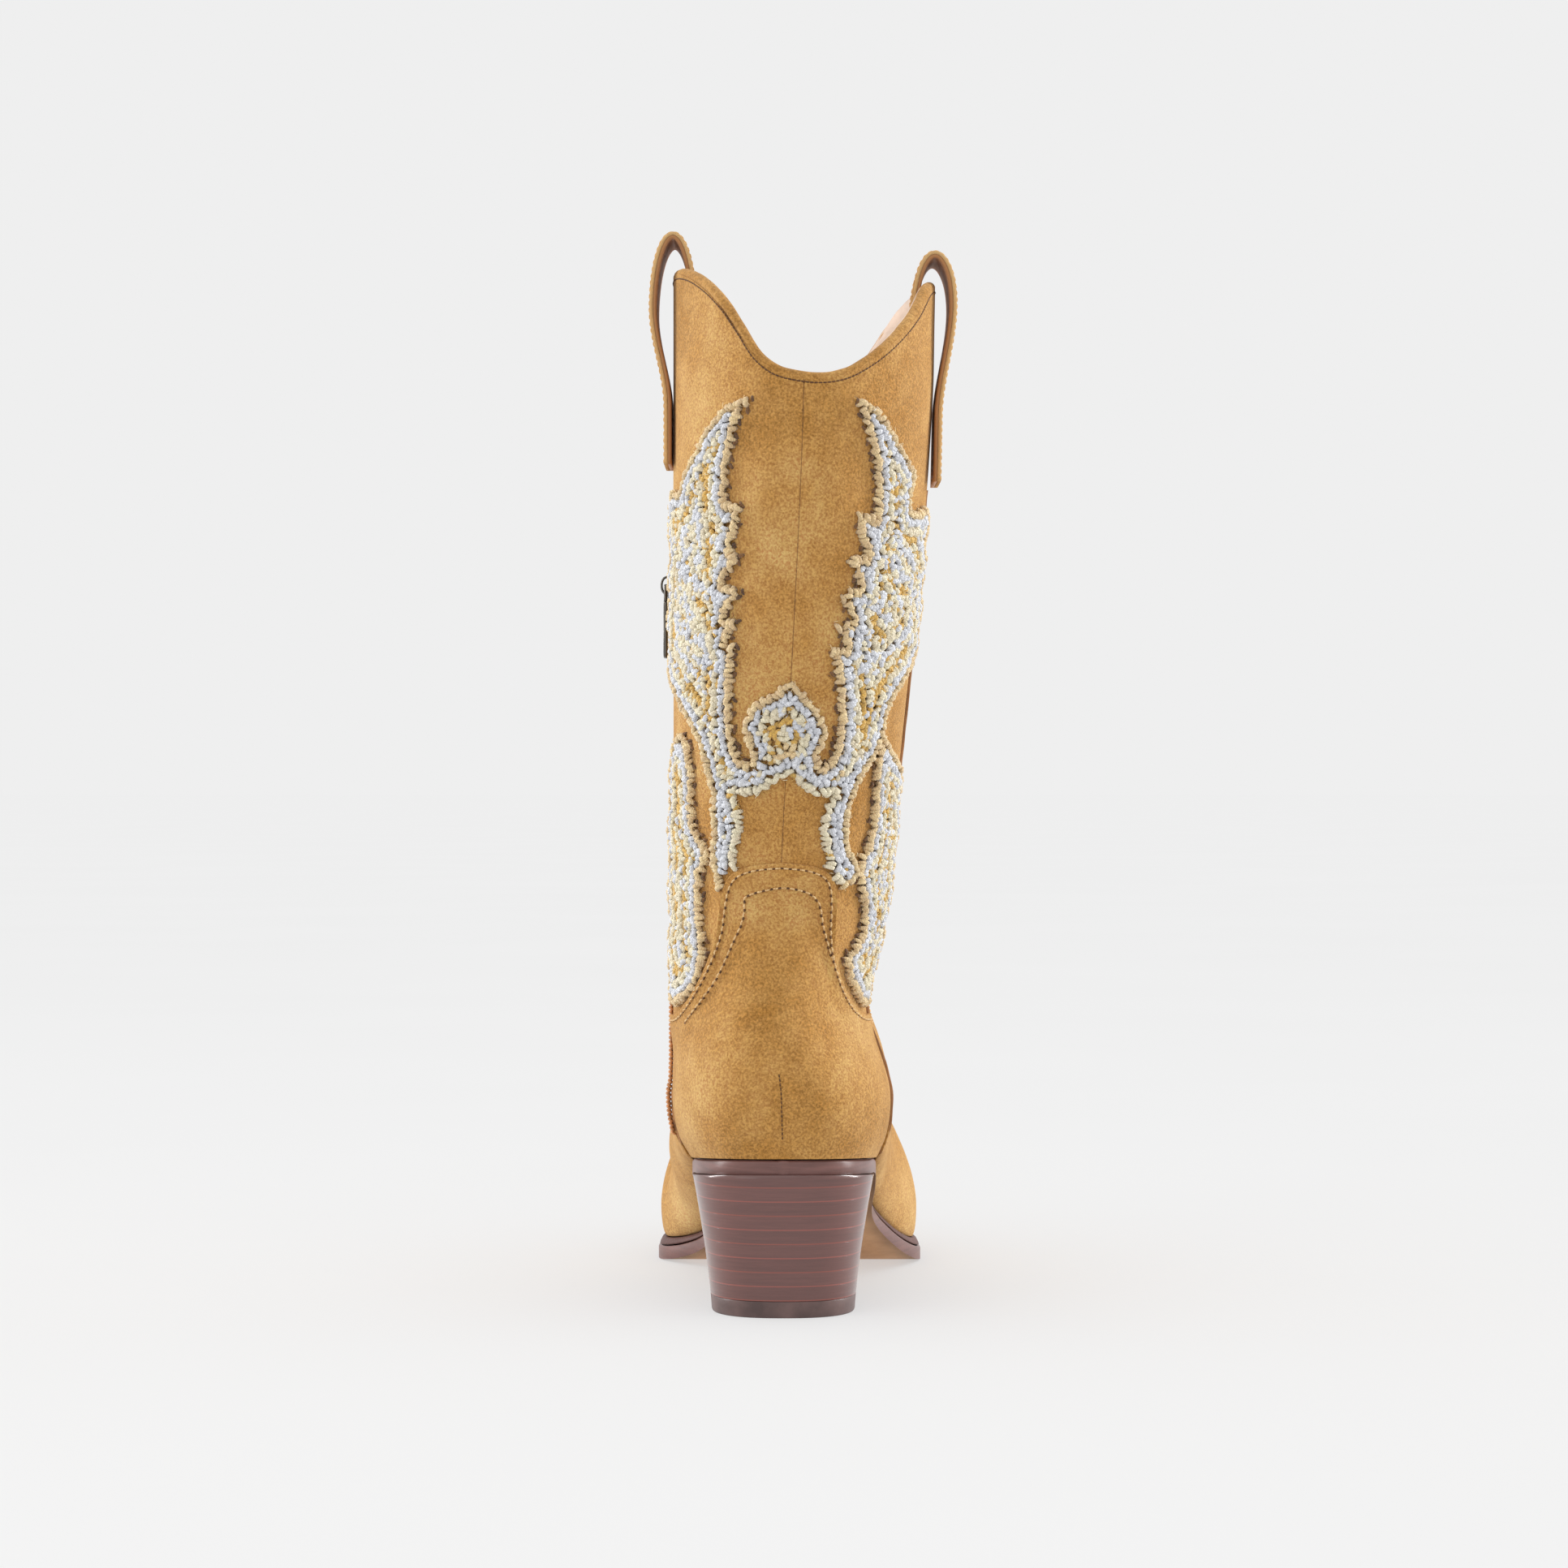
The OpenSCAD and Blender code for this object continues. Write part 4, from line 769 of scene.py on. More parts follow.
def loop_rows(outline, pitch):
    """Places for loops inside a closed outline. Edge samples, with fans of normals round its corners, move
    inwards to each row's distance; those that are nearer to another edge go, the rest are thinned to an even
    pitch, and loops that would sit on earlier ones are left out. Staggered loops fill what is then still
    bare."""
    p, finish = outline[:, :2], outline[:, 2].astype(int)
    q = np.roll(p, -1, 0)
    area = np.sum(p[:, 0] * q[:, 1] - q[:, 0] * p[:, 1])
    tangent = unit(q - p)
    inward = np.stack([-tangent[:, 1], tangent[:, 0]], -1) * np.sign(area)
    length = np.linalg.norm(q - p, axis=1)
    i = np.repeat(np.arange(len(p)), np.ceil(length / 0.3).astype(int))
    f = np.arange(len(i)) - np.searchsorted(i, i)
    u = (f + 0.5) / np.ceil(length / 0.3)[i]
    fan = np.linspace(0.05, 0.95, 7)
    before = np.roll(inward, 1, 0)
    turned = unit(before[:, None] * (1 - fan)[:, None] + inward[:, None] * fan[:, None])
    order = np.concatenate([i + u, (np.arange(len(p))[:, None] - 0.02 + 0 * fan).ravel()])
    base = np.concatenate([p[i] + (q - p)[i] * u[:, None], np.repeat(p, len(fan), 0)])
    normal = np.concatenate([inward[i], turned.reshape(-1, 2)])
    label = np.concatenate([finish[i], np.repeat(finish, len(fan))])
    rank = np.argsort(order, kind="stable")
    base, normal, label = base[rank], normal[rank], label[rank]
    places = []
    for kind, rows in ROWS.items():
        for k, (colour, depth) in enumerate(rows):
            c = (base + normal * depth)[label == kind]
            m = normal[label == kind]
            w = c[:, None] - p[None]
            t = np.clip(np.sum(w * (q - p), -1) / length ** 2, 0, 1)
            gap = np.min(np.linalg.norm(w - t[..., None] * (q - p)[None], axis=-1), 1)
            keep = gap > depth - 0.12
            c, m = c[keep], m[keep]
            if not len(c):
                continue
            step = pitch * (0.62 if colour == "dark" else 1.0)
            run = np.concatenate([[0], np.cumsum(np.linalg.norm(np.diff(c, axis=0), axis=1))])
            first = np.unique(np.floor(run / step), return_index=True)[1]
            places.append((np.full(len(first), k), c[first], m[first], np.full(len(first), colour)))
    row, c, m, colour = (np.concatenate([v[j] for v in places]) for j in range(4))
    rank = np.argsort(row, kind="stable")
    row, c, m, colour = row[rank], c[rank], m[rank], colour[rank]
    near = np.linalg.norm(c[:, None] - c[None], axis=-1)
    limit = np.where(row[:, None] == row[None], pitch * 0.6, pitch * np.where(row > 3, 0.62, 0.8)[:, None])
    clash = (near < limit) & (np.arange(len(c))[None] < np.arange(len(c))[:, None])
    keep = ~clash.any(1)
    c, m, colour = c[keep], m[keep], colour[keep]
    fill = inside_grid(p, q, pitch * 1.12)
    free = np.concatenate([np.min(np.linalg.norm(part[:, None] - c[None], axis=-1), 1)
                           for part in np.array_split(fill, 12)])
    fill = fill[free > pitch * 0.82]
    swell = waves(np.concatenate([fill, 0 * fill[:, :1]], 1), 11, 5)
    shades = np.where(swell > 0.5, "gold", np.where(swell > -0.1, "cream", "blue"))
    return (np.concatenate([c, fill]), np.concatenate([m, np.tile([0.6, 0.8], (len(fill), 1))]),
            np.concatenate([colour, shades]))


def inside_grid(p, q, pitch):
    """Staggered points inside the closed outline with sides from p to q, more than 5 mm from it."""
    x, y = np.meshgrid(np.arange(-84, 84, pitch), np.arange(98, 312, pitch * 0.87))
    x = x + np.where(np.arange(len(y)) % 2, pitch / 2, 0)[:, None] + 0.3 * np.sin(x * 1.7 + y)
    c = np.stack([x.ravel(), y.ravel() + 0.3 * np.sin(x.ravel() * 2.3)], -1)
    crossing = (p[None, :, 1] > c[:, None, 1]) != (q[None, :, 1] > c[:, None, 1])
    rise = np.where(np.abs(q[:, 1] - p[:, 1]) < 1e-9, 1e-9, q[:, 1] - p[:, 1])
    at_x = p[None, :, 0] + (c[:, None, 1] - p[None, :, 1]) * (q[:, 0] - p[:, 0])[None] / rise[None]
    c = c[np.sum(crossing & (c[:, None, 0] < at_x), 1) % 2 == 1]
    w = c[:, None] - p[None]
    t = np.clip(np.sum(w * (q - p), -1) / np.sum((q - p) ** 2, -1), 0, 1)
    gap = np.min(np.linalg.norm(w - t[..., None] * (q - p)[None], axis=-1), 1)
    return c[gap > 5]


def yarn_panel(context, region, where, normal_at, low_edge, materials):
    """All the loops of one panel, split by colour and by side."""
    sizes = context.scene.boot_sizes
    pitch, tall, thick = sizes.loop_pitch / MM, sizes.loop_height / MM, sizes.yarn_radius / MM
    parts = [loop_rows(o, pitch) for o in (WINGS, LATERAL_FLAME, MEDIAL_FLAME)]
    c, m, colour = (np.concatenate([v[j] for v in parts]) for j in range(3))
    base = where(c)
    shaft_side = np.where(c[:, 0] < 0, 7.5, 3.5)
    keep = (np.abs(base[:, 1] - SEAM_Y) > shaft_side) & (c[:, 1] > low_edge(c) + 1.8)
    keep &= ~((np.abs(base[:, 1] - SEAM_Y) < 16.5) & (c[:, 1] > 280))
    c, m, colour, base = c[keep], m[keep], colour[keep], base[keep]
    d = 0.4
    across = unit(where(c + m * d) - base)
    normal = normal_at(c)
    across = unit(across - np.sum(across * normal, -1, keepdims=True) * normal)
    along = np.cross(normal, across)
    rng = np.random.default_rng(7 if region == "back" else 11)
    n = len(c)
    colour = np.where((colour == "cream") & (rng.random(n) < 0.14), "gold", colour)
    turn = np.radians(rng.uniform(-75, 75, n))
    turn = np.where(colour == "dark", np.radians(rng.choice([-52, 52], n)), turn)
    way = np.cos(turn)[:, None] * across + np.sin(turn)[:, None] * along
    lean = unit(normal + rng.normal(0, 0.16, (n, 1)) * across + rng.normal(0, 0.16, (n, 1)) * along)
    low = {"dark": 0.42, "gold": 0.72}
    share = np.array([low.get(k, 1.0) for k in colour])
    length = 2.8 * np.where(colour == "dark", 0.66, 1.0) * rng.uniform(0.8, 1.2, n)
    height = tall * share * rng.uniform(0.82, 1.12, n)
    radius = thick * np.where(colour == "dark", 0.62, 1.0) * rng.uniform(0.88, 1.12, n)
    centre = base + rng.normal(0, 0.16, (n, 1)) * across + rng.normal(0, 0.16, (n, 1)) * along
    tint = rng.random(n)
    for side, side_name in ((MEDIAL, "medial"), (LATERAL, "lateral")):
        for key, material in materials.items():
            pick = (colour == key) & ((c[:, 0] < 0) == (side == MEDIAL))
            mesh, rise, uv = arches(centre[pick], way[pick], lean[pick], length[pick], height[pick],
                                    radius[pick])
            hairs = np.repeat(np.flatnonzero(pick), 1 if key == "dark" else 2)
            k = len(hairs)
            spread = rng.normal(0, 0.75, (2, k, 1))
            root = centre[hairs] + spread[0] * across[hairs] + spread[1] * along[hairs] + (
                height[hairs] * rng.uniform(0.35, 0.8, k))[:, None] * lean[hairs]
            spin = rng.uniform(0, 6.28, (k, 1))
            hair, _, _ = arches(root, unit(np.cos(spin) * across[hairs] + np.sin(spin) * along[hairs]),
                                unit(lean[hairs] + rng.normal(0, 0.5, (k, 3))), rng.uniform(1.4, 2.6, k),
                                rng.uniform(0.5, 1.1, k), 0.11, rings=4, sides=3, sink=0)
            add_piece(f"yarn_{region}_{side_name}_{key}", join([mesh, hair]), material,
                      f"embroidery_{region}_{side_name}", uv=np.concatenate([uv, np.zeros((12 * k, 2))]),
                      marks={"rise": np.concatenate([rise, np.ones(12 * k)]),
                             "tint": np.concatenate([np.repeat(tint[pick], 30), np.ones(12 * k)])})


# ---- settings ------------------------------------------------------------------------------

def length_setting(name, about, millimetres):
    return bpy.props.FloatProperty(name=name, description=about, default=millimetres * MM, min=0.0,
                                   subtype="DISTANCE", unit="LENGTH", precision=4)


def colour_setting(name, about, code):
    return bpy.props.FloatVectorProperty(name=name, description=about, default=hex_colour(code), size=4,
                                         min=0.0, max=1.0, subtype="COLOR")


class BootSizes(bpy.types.PropertyGroup):
    """Sizes of the visible make-up of the boot."""
    medial_peak: length_setting("Inner peak", "Height of the topline at the inner side seam", 357.5)
    lateral_peak: length_setting("Outer peak", "Height of the topline at the outer side seam", 354.5)
    suede: length_setting("Suede", "Thickness of the suede", 1.4)
    nap: length_setting("Nap", "Size of the grains in the suede nap", 0.85)
    binding: length_setting("Binding", "Radius of the rolled binding on the topline", 1.7)
    zip_slot: length_setting("Zip slot", "Half width of the opening over the zip", 4.4)
    coil_pitch: length_setting("Coil pitch", "Height of one turn of the zip coil", 1.5)
    loop_pitch: length_setting("Loop pitch", "Distance between two yarn loops in a row", 1.5)
    loop_height: length_setting("Loop height", "Height of a yarn loop above the suede", 2.3)
    yarn_radius: length_setting("Yarn radius", "Half the thickness of the yarn", 0.98)
    stitch_pitch: length_setting("Stitch pitch", "Distance between two stitches of the counter cover", 2.8)
    strap_width: length_setting("Strap width", "Width of a pull strap, front to back", 28)
    strap: length_setting("Strap", "Thickness of the doubled pull strap", 2.6)


class BootColours(bpy.types.PropertyGroup):
    """Colours of the boot's materials."""
    suede_light: colour_setting("Suede light", "Brushed-up patches of the suede", "E0B574")
    suede_mid: colour_setting("Suede", "Main colour of the suede", "C69250")
    suede_dark: colour_setting("Suede dark", "Rubbed-down patches of the suede", "A87430")
    cut_edge: colour_setting("Cut edge", "Raw edges of the straps and the side seam", "A8764A")
    lining: colour_setting("Lining", "Lining leather", "E3CBB8")
    tan: colour_setting("Tan yarn", "Outer rows of the embroidery", "FFDCA8")
    blue: colour_setting("Blue-grey yarn", "Second rows of the embroidery", "EDEFF6")
    cream: colour_setting("Cream yarn", "Third rows of the embroidery", "FFF0D0")
    gold: colour_setting("Gold yarn", "Inner rows of the embroidery", "EEC064")
    zip_coil: colour_setting("Zip coil", "Coil and tape of the zip", "B57F50")
    heel: colour_setting("Heel", "Stained stacked-leather heel", "6A403A")
    sole_edge: colour_setting("Sole edge", "Stained edge of the outsole and the welt", "75504A")


def scene_settings(context):
    return context.scene.boot_sizes, context.scene.boot_colours


def shade(colour, factor):
    """A darker or lighter version of a linear colour."""
    return tuple(min(1.0, c * factor) for c in colour[:3]) + (1.0,)


def kept(name, make, *values, **settings):
    """A material by name, made the first time that it is asked for."""
    return bpy.data.materials.get(name) or make(name, *values, **settings)


def suede_material(context):
    sizes, colours = scene_settings(context)
    return kept("buffed_suede", suede, colours.suede_light, colours.suede_mid, colours.suede_dark,
                sizes.nap / MM)


# Dark thread; it is also the painted shade of the needle holes and of the groove under the binding.
def dark_stitch_and_shade(context):
    return kept("needle_hole", thread, hex_colour("6B4420"), hex_colour("3F260F"))


def light_thread(context):
    return kept("sewing_thread", thread, hex_colour("EBCB96"), hex_colour("C4955A"))


def lining_material(context):
    c = context.scene.boot_colours.lining
    return kept("lining_leather", leather, shade(c, 1.12), shade(c, 0.8), 1.3)


def metal_material(context):
    return kept("nickel_plate", metal, hex_colour("6A6661"), 0.14, 0.2)


# Places on the skins: r runs up between two edges, c across between two seams.
def rear_place(a0, a1, low, high):
    def place(r, c, off):
        a = mix(a0(150.0), a1(150.0), c)
        z = mix(low(a), high(a), r)
        return rear_at(z, mix(a0(z), a1(z), c), off)
    return place


def front_place(low, high, sizes):
    def place(r, c, off):
        s = mix(low(c), high(c), r)
        gap = np.where(c < 0, slot(at(FRONT, s, 4), sizes), 0.5)
        return front_at(s, c * np.where(s <= CORNER, 1, edge_share(s, gap)), off)
    return place


def seams(sizes):
    """Angles of the lateral and the medial edge of the rear panels."""
    return (lambda z: seam_angle(z, 0.5), lambda z: 180 - seam_angle(z, slot(z, sizes)))


def tongue(c):
    return at(TONGUE, np.abs(c), 1)


def across_front(count, radius):
    """Columns from the medial to the lateral edge, drawn together at both."""
    return edged(count, 150, radius) * 2 - 1


class BOOT_OT_shaft(bpy.types.Operator):
    """Makes the suede shaft: the front, and the two halves that meet in the back seam"""
    bl_idname = "boot.shaft"
    bl_label = "Shaft"

    def execute(self, context):
        sizes = context.scene.boot_sizes
        lateral, medial = seams(sizes)
        mat = suede_material(context)
        thick = sizes.suede / MM
        low = lambda a: counter_top(a) - 4.5
        high = lambda a: back_top(a, sizes) - 1.4
        rows = edged(110, 180, 1.2)
        cols = edged(56, 70, 1.2)
        add_piece("shaft_back_medial_suede", panel(rear_place(lambda z: 90.03 + 0 * z, medial, low, high),
                                                   rows, cols,
                  thick, 0.9, 0.45, "lr", seed=3), mat, "shaft_back_medial")
        add_piece("shaft_back_lateral_suede", panel(rear_place(lateral, lambda z: 89.97 + 0 * z, low, high),
                                                    rows, cols,
                  thick, 0.9, 0.45, "lr", seed=4), mat, "shaft_back_lateral")
        place = front_place(lambda c: tongue(c) - 4, lambda c: front_top(c, sizes) - 151.4, sizes)
        add_piece("shaft_front_suede", panel(place, rows, across_front(110, 1.2), thick, 1.1, 0.75, "lr",
                                             seed=5), mat, "shaft_front")
        return {"FINISHED"}


class BOOT_OT_foot(bpy.types.Operator):
    """Makes the vamp and the heel counter cover, whose turned edges lie over the shaft"""
    bl_idname = "boot.foot"
    bl_label = "Vamp and counter"

    def execute(self, context):
        sizes = context.scene.boot_sizes
        lateral, medial = seams(sizes)
        mat = suede_material(context)
        thick = sizes.suede / MM
        raised = lambda base: 1.25 * (1 - smooth(edge_distance(base, "t") / 14))
        cover = rear_place(lateral, medial, lambda a: 48.5 + 0 * a, counter_top)
        add_piece("heel_counter_cover_suede", panel(cover, edged(80, 100, 0.9), edged(150, 150, 0.9), thick,
                                                    0.8, 0.45,
                  "tlr", lift=raised, seed=6), mat, "heel_counter_cover")
        place = front_place(lambda c: -223 + 0 * c, tongue, sizes)
        rows = edged(150, 240, 0.9, first=False) ** 1.15
        add_piece("vamp_suede", panel(place, rows, across_front(110, 1.2), thick, 0.8, 0.45, "t",
                                      lift=raised, seed=7), mat, "vamp")
        return {"FINISHED"}


class BOOT_OT_linings(bpy.types.Operator):
    """Makes the leather lining, the sock liner and the flap behind the zip"""
    bl_idname = "boot.linings"
    bl_label = "Linings"

    def execute(self, context):
        sizes = context.scene.boot_sizes
        lateral, medial = seams(sizes)
        mat = lining_material(context)
        whole = rear_place(lateral, medial, lambda a: 48.5 + 0 * a, lambda a: back_top(a, sizes) - 1.2)
        steps = np.linspace
        add_piece("lining_back", panel(whole, steps(0, 1, 90), steps(0, 1, 100), 1.0, depth=3.0, drop=0.0,
                                       seed=8), mat, "shaft_lining_back")
        place = front_place(lambda c: tongue(c) + 0.3, lambda c: front_top(c, sizes) - 151.2, sizes)
        add_piece("lining_front", panel(place, steps(0, 1, 70), steps(-1, 1, 90), 1.0, depth=3.0, drop=0.0,
                                        seed=9), mat, "shaft_lining_front")
        place = front_place(lambda c: -206 + 0 * c, tongue, sizes)
        add_piece("lining_foot", panel(place, steps(0, 1, 80) ** 1.15, steps(-1, 1, 80), 1.0, depth=3.0,
                                       drop=0.0, seed=10), mat, "vamp_lining")
        w = np.concatenate([steps(-0.96, 0, 24)[:-1], steps(0, sole_w(226), 60)])
        add_piece("sock_liner_leather", sole_slab(w, lambda y: -5.6 + 0 * y, lambda y: -4.1 + 0 * y,
                  lambda y: -2.75 + 0 * y, 0.4)[0], mat, "sock_liner")
        low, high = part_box("zip_guard_flap")
        z, y = np.meshgrid(steps(low[2], high[2], 80) / MM, steps(low[1], high[1], 18) / MM, indexing="ij")
        bow = 0.25 * np.sin(z / 13) * np.cos((y - SEAM_Y) / 6)
        face = lambda x: np.stack([x + bow, y, z], -1)
        add_piece("zip_flap_leather", shell_mesh(face(low[0] / MM), face(high[0] / MM)), mat,
                  "zip_guard_flap")
        return {"FINISHED"}


def topline_path(drop, depth, sizes, count=360):
    """Closed path round the topline, so far below it and under the skin, with the skin's normals."""
    a = np.linspace(0.3, 179.7, count // 2)
    z = back_top(a, sizes) - drop
    f = np.linspace(-0.996, 0.996, count // 2)
    s = front_top(f, sizes) - drop - 150
    points = np.concatenate([rear_at(z, a, -depth + 0 * a), front_at(s, f, -depth + 0 * f)])
    return points, np.concatenate([rear_normal(z, a), front_normal(s, f)])


class BOOT_OT_topline(bpy.types.Operator):
    """Makes the rolled binding round the topline, with the row of dark stitches that holds it and paints the
    shade of the groove under the roll
    """
    bl_idname = "boot.topline"
    bl_label = "Topline binding"

    def execute(self, context):
        sizes, colours = scene_settings(context)
        radius = sizes.binding / MM
        path, normal = topline_path(radius, 2.0, sizes)
        tangent = unit(np.roll(path, -1, 0) - np.roll(path, 1, 0))
        across = unit(normal - np.sum(normal * tangent, -1, keepdims=True) * tangent)
        up = np.cross(tangent, across)
        up *= np.sign(up[:, 2:3])
        swell = 1 + 0.05 * waves(path, 9, 12)[:, None]
        mat = kept("binding_suede", suede, shade(colours.suede_light, 0.97), shade(colours.suede_mid, 0.93),
                   shade(colours.suede_dark, 0.9), 1.0, contrast=0.8)
        add_piece("topline_binding_roll", tube_mesh(path, across, up,
                                                    swell * np.array([[radius + 0.25, radius]]), 14,
                  True), mat, "topline_binding")
        # Dark stitches just under the roll: they are thread, and also the painted shade of the groove.
        low, low_normal = topline_path(2 * radius + 0.15, -0.1, sizes, 500)
        back = slice(0, 250)
        rows = [run_stitches(lambda q: (low[back], low_normal[back]), low[back], 1.5, 1.3, 0.3, 0.1, 0.2),
                run_stitches(lambda q: (low[250:], low_normal[250:]), low[250:], 1.5, 1.3, 0.3, 0.1, 0.2)]
        add_piece("topline_stitches", join(rows), dark_stitch_and_shade(context))
        return {"FINISHED"}


def strap_line(side):
    """Middle line of a pull strap as distance outside the seam and height: up the outside of the shaft, over
    the topline in half an ellipse, and down the lining."""
    low, top, leg = (290.0, 370.6, 1.6) if side == MEDIAL else (284.0, 364.0, 1.6)
    out, mid = (6.7, 344.0) if side == MEDIAL else (6.0, 345.0)
    inside = -(4.0 + 1.4 + leg)
    u, a, v = np.linspace(0, 1, 30), np.radians(np.linspace(4, 176, 40)), np.linspace(0.02, 1, 20)
    parts = [np.stack([leg + (out - leg) * smooth(1.6 * u - 0.6), mix(low, mid, u)], -1),
             np.stack([mix(inside, out, (1 + np.cos(a)) / 2), mid + (top - 1.3 - mid) * np.sin(a)], -1),
             np.stack([inside + 0 * v, mix(mid, low + 12, v)], -1)]
    return np.concatenate(parts)


class BOOT_OT_straps(bpy.types.Operator):
    """Makes the two pull straps, each a suede and a leather layer with raw cut edges, and their stitches"""
    bl_idname = "boot.straps"
    bl_label = "Pull straps"

    def execute(self, context):
        sizes, colours = scene_settings(context)
        half, thick = sizes.strap_width / MM / 2, sizes.strap / MM
        outer_mat = kept("strap_suede", suede, colours.suede_light, colours.suede_mid, colours.suede_dark,
                         sizes.nap / MM, edge=hex_colour("DDB47C"))
        inner_mat = kept("strap_leather", leather, hex_colour("C99A78"), hex_colour("A97A58"), 1.0, 0.6,
                         edge=colours.cut_edge)
        for side, name in ((MEDIAL, "medial"), (LATERAL, "lateral")):
            line = strap_line(side)
            end = unit(np.roll(line, -1, 0) - np.roll(line, 1, 0))
            end[0], end[-1] = unit(line[1] - line[0]), unit(line[-1] - line[-2])
            turn = np.stack([-end[:, 1], end[:, 0]], -1)
            cols = edged(20, 2 * half, 0.9)
            base_x = -37.0 if side == MEDIAL else float(at(BACK, sizes.lateral_peak / MM, 3))
            lean = 0.0 if side == MEDIAL else 0.02

            def sheet_of(depth):
                p = line[:, None] + depth[None, :, None] * turn[:, None]
                x = base_x + side * (p[..., 0] - lean * np.maximum(0, sizes.lateral_peak / MM - p[..., 1]))
                y = SEAM_Y + half * (2 * cols - 1) + 0 * x
                return np.stack([x, y, p[..., 1]], -1)

            roll = 0.35 * (1 - np.clip(np.minimum(cols, 1 - cols) * 2 * half / 0.8, 0, 1)) ** 2
            raw = np.broadcast_to(np.where((cols < 0.004) | (cols > 0.996), 1.0, 0.0),
                                  (len(line), len(cols))).ravel()
            suede_part = shell_mesh(sheet_of(-thick / 2 + roll), sheet_of(-0.04 + 0 * roll))
            leather_part = shell_mesh(sheet_of(0.04 + 0 * roll), sheet_of(thick / 2 - roll))
            marks = {"edge": np.concatenate([raw, raw])}
            add_piece(f"strap_{name}_suede", suede_part, outer_mat, f"pull_strap_{name}",
                      marks=marks)
            add_piece(f"strap_{name}_leather", leather_part, inner_mat, marks=marks)
            rows = []
            out = np.stack([side * -turn[:, 0], 0 * turn[:, 0], -turn[:, 1]], -1)
            for edge in (2.2, 2 * half - 2.2):
                face = sheet_of(-thick / 2 + 0 * cols)[:, 0] + np.array([0, edge, 0])
                rows.append(run_stitches(lambda q: (face, out), face, 2.4, 1.7, 0.24, 0.22, 0.1))
            foot_y = np.linspace(2.2, 2 * half - 2.2, 12)
            for k in (2, 7):
                across = np.stack([0 * foot_y, foot_y, 0 * foot_y], -1)
                face = sheet_of(-thick / 2 + 0 * cols)[k:k + 1, 0] + across
                rows.append(run_stitches(lambda q: (face, np.repeat(out[k:k + 1], 12, 0)), face, 2.4, 1.7,
                                         0.24, 0.22, 0.1))
            add_piece(f"strap_{name}_stitches", join(rows), light_thread(context))
        return {"FINISHED"}


class BOOT_OT_seams(bpy.types.Operator):
    """Makes the raw leather edge in the outer side seam, and the stitches of the counter cover and vamp"""
    bl_idname = "boot.seams"
    bl_label = "Seams and stitches"

    def execute(self, context):
        sizes, colours = scene_settings(context)
        z = np.linspace(50, 282, 160)
        path = np.stack([at(BACK, z, 3) - 0.2 - 0.55 * smooth((z - 262) / 12),
                         SEAM_Y + 0.12 * np.sin(z / 4.1), z], -1)
        ones = np.ones((len(z), 1))
        size = np.array([[0.5, 1.25]]) * (1 + 0.12 * waves(path, 7, 21)[:, None])
        edge_mat = kept("raw_leather_edge", leather, shade(colours.cut_edge, 1.1),
                        shade(colours.cut_edge, 0.6), 0.8, 0.7)
        add_piece("side_seam_edge", tube_mesh(path, ones * [0, 1.0, 0], ones * [1.0, 0, 0], size, 8,
                                              power=0.6), edge_mat, "side_seam_welt")
        pitch = sizes.stitch_pitch / MM
        arc = np.linspace(-62, 62, 500)
        top = np.stack([arc, at(COUNTER_TOP, np.abs(arc), 1)], -1)
        step = unit(np.gradient(top, axis=0))
        top = top + 1.8 * np.stack([step[:, 1], -step[:, 0]], -1)
        rows = [(rear_stitch_place(1.2), top, pitch), (rear_stitch_place(0.62), flowing(COUNTER_ROW), pitch)]
        both_kinds("counter", rows, light_thread(context), dark_stitch_and_shade(context))
        centre = np.stack([np.linspace(55, 80, 40), 90 + 0 * np.linspace(0, 1, 40)], -1)
        low = [run_stitches(rear_angle_place(0.02), centre, 1.5, 1.0, 0.25, 0.1, 0.1)]
        add_piece("counter_centre_stitches", join(low), dark_stitch_and_shade(context))
        c = np.linspace(-0.93, 0.97, 260)
        lines = []
        for inset in (2.0, 4.2):
            s = tongue(c) - inset
            lines.append((front_share_place(0.8 - 0.07 * inset), np.stack([s, c], -1), 2.4))
        both_kinds("vamp", lines, light_thread(context), dark_stitch_and_shade(context))
        return {"FINISHED"}


def flowing(path, times=4):
    """An open path with its corners cut, each pass a quarter from both ends of every part."""
    for _ in range(times):
        a, b = path[:-1], path[1:]
        cut = np.stack([0.75 * a + 0.25 * b, 0.25 * a + 0.75 * b], 1).reshape(-1, 2)
        path = np.concatenate([path[:1], cut, path[-1:]])
    return path


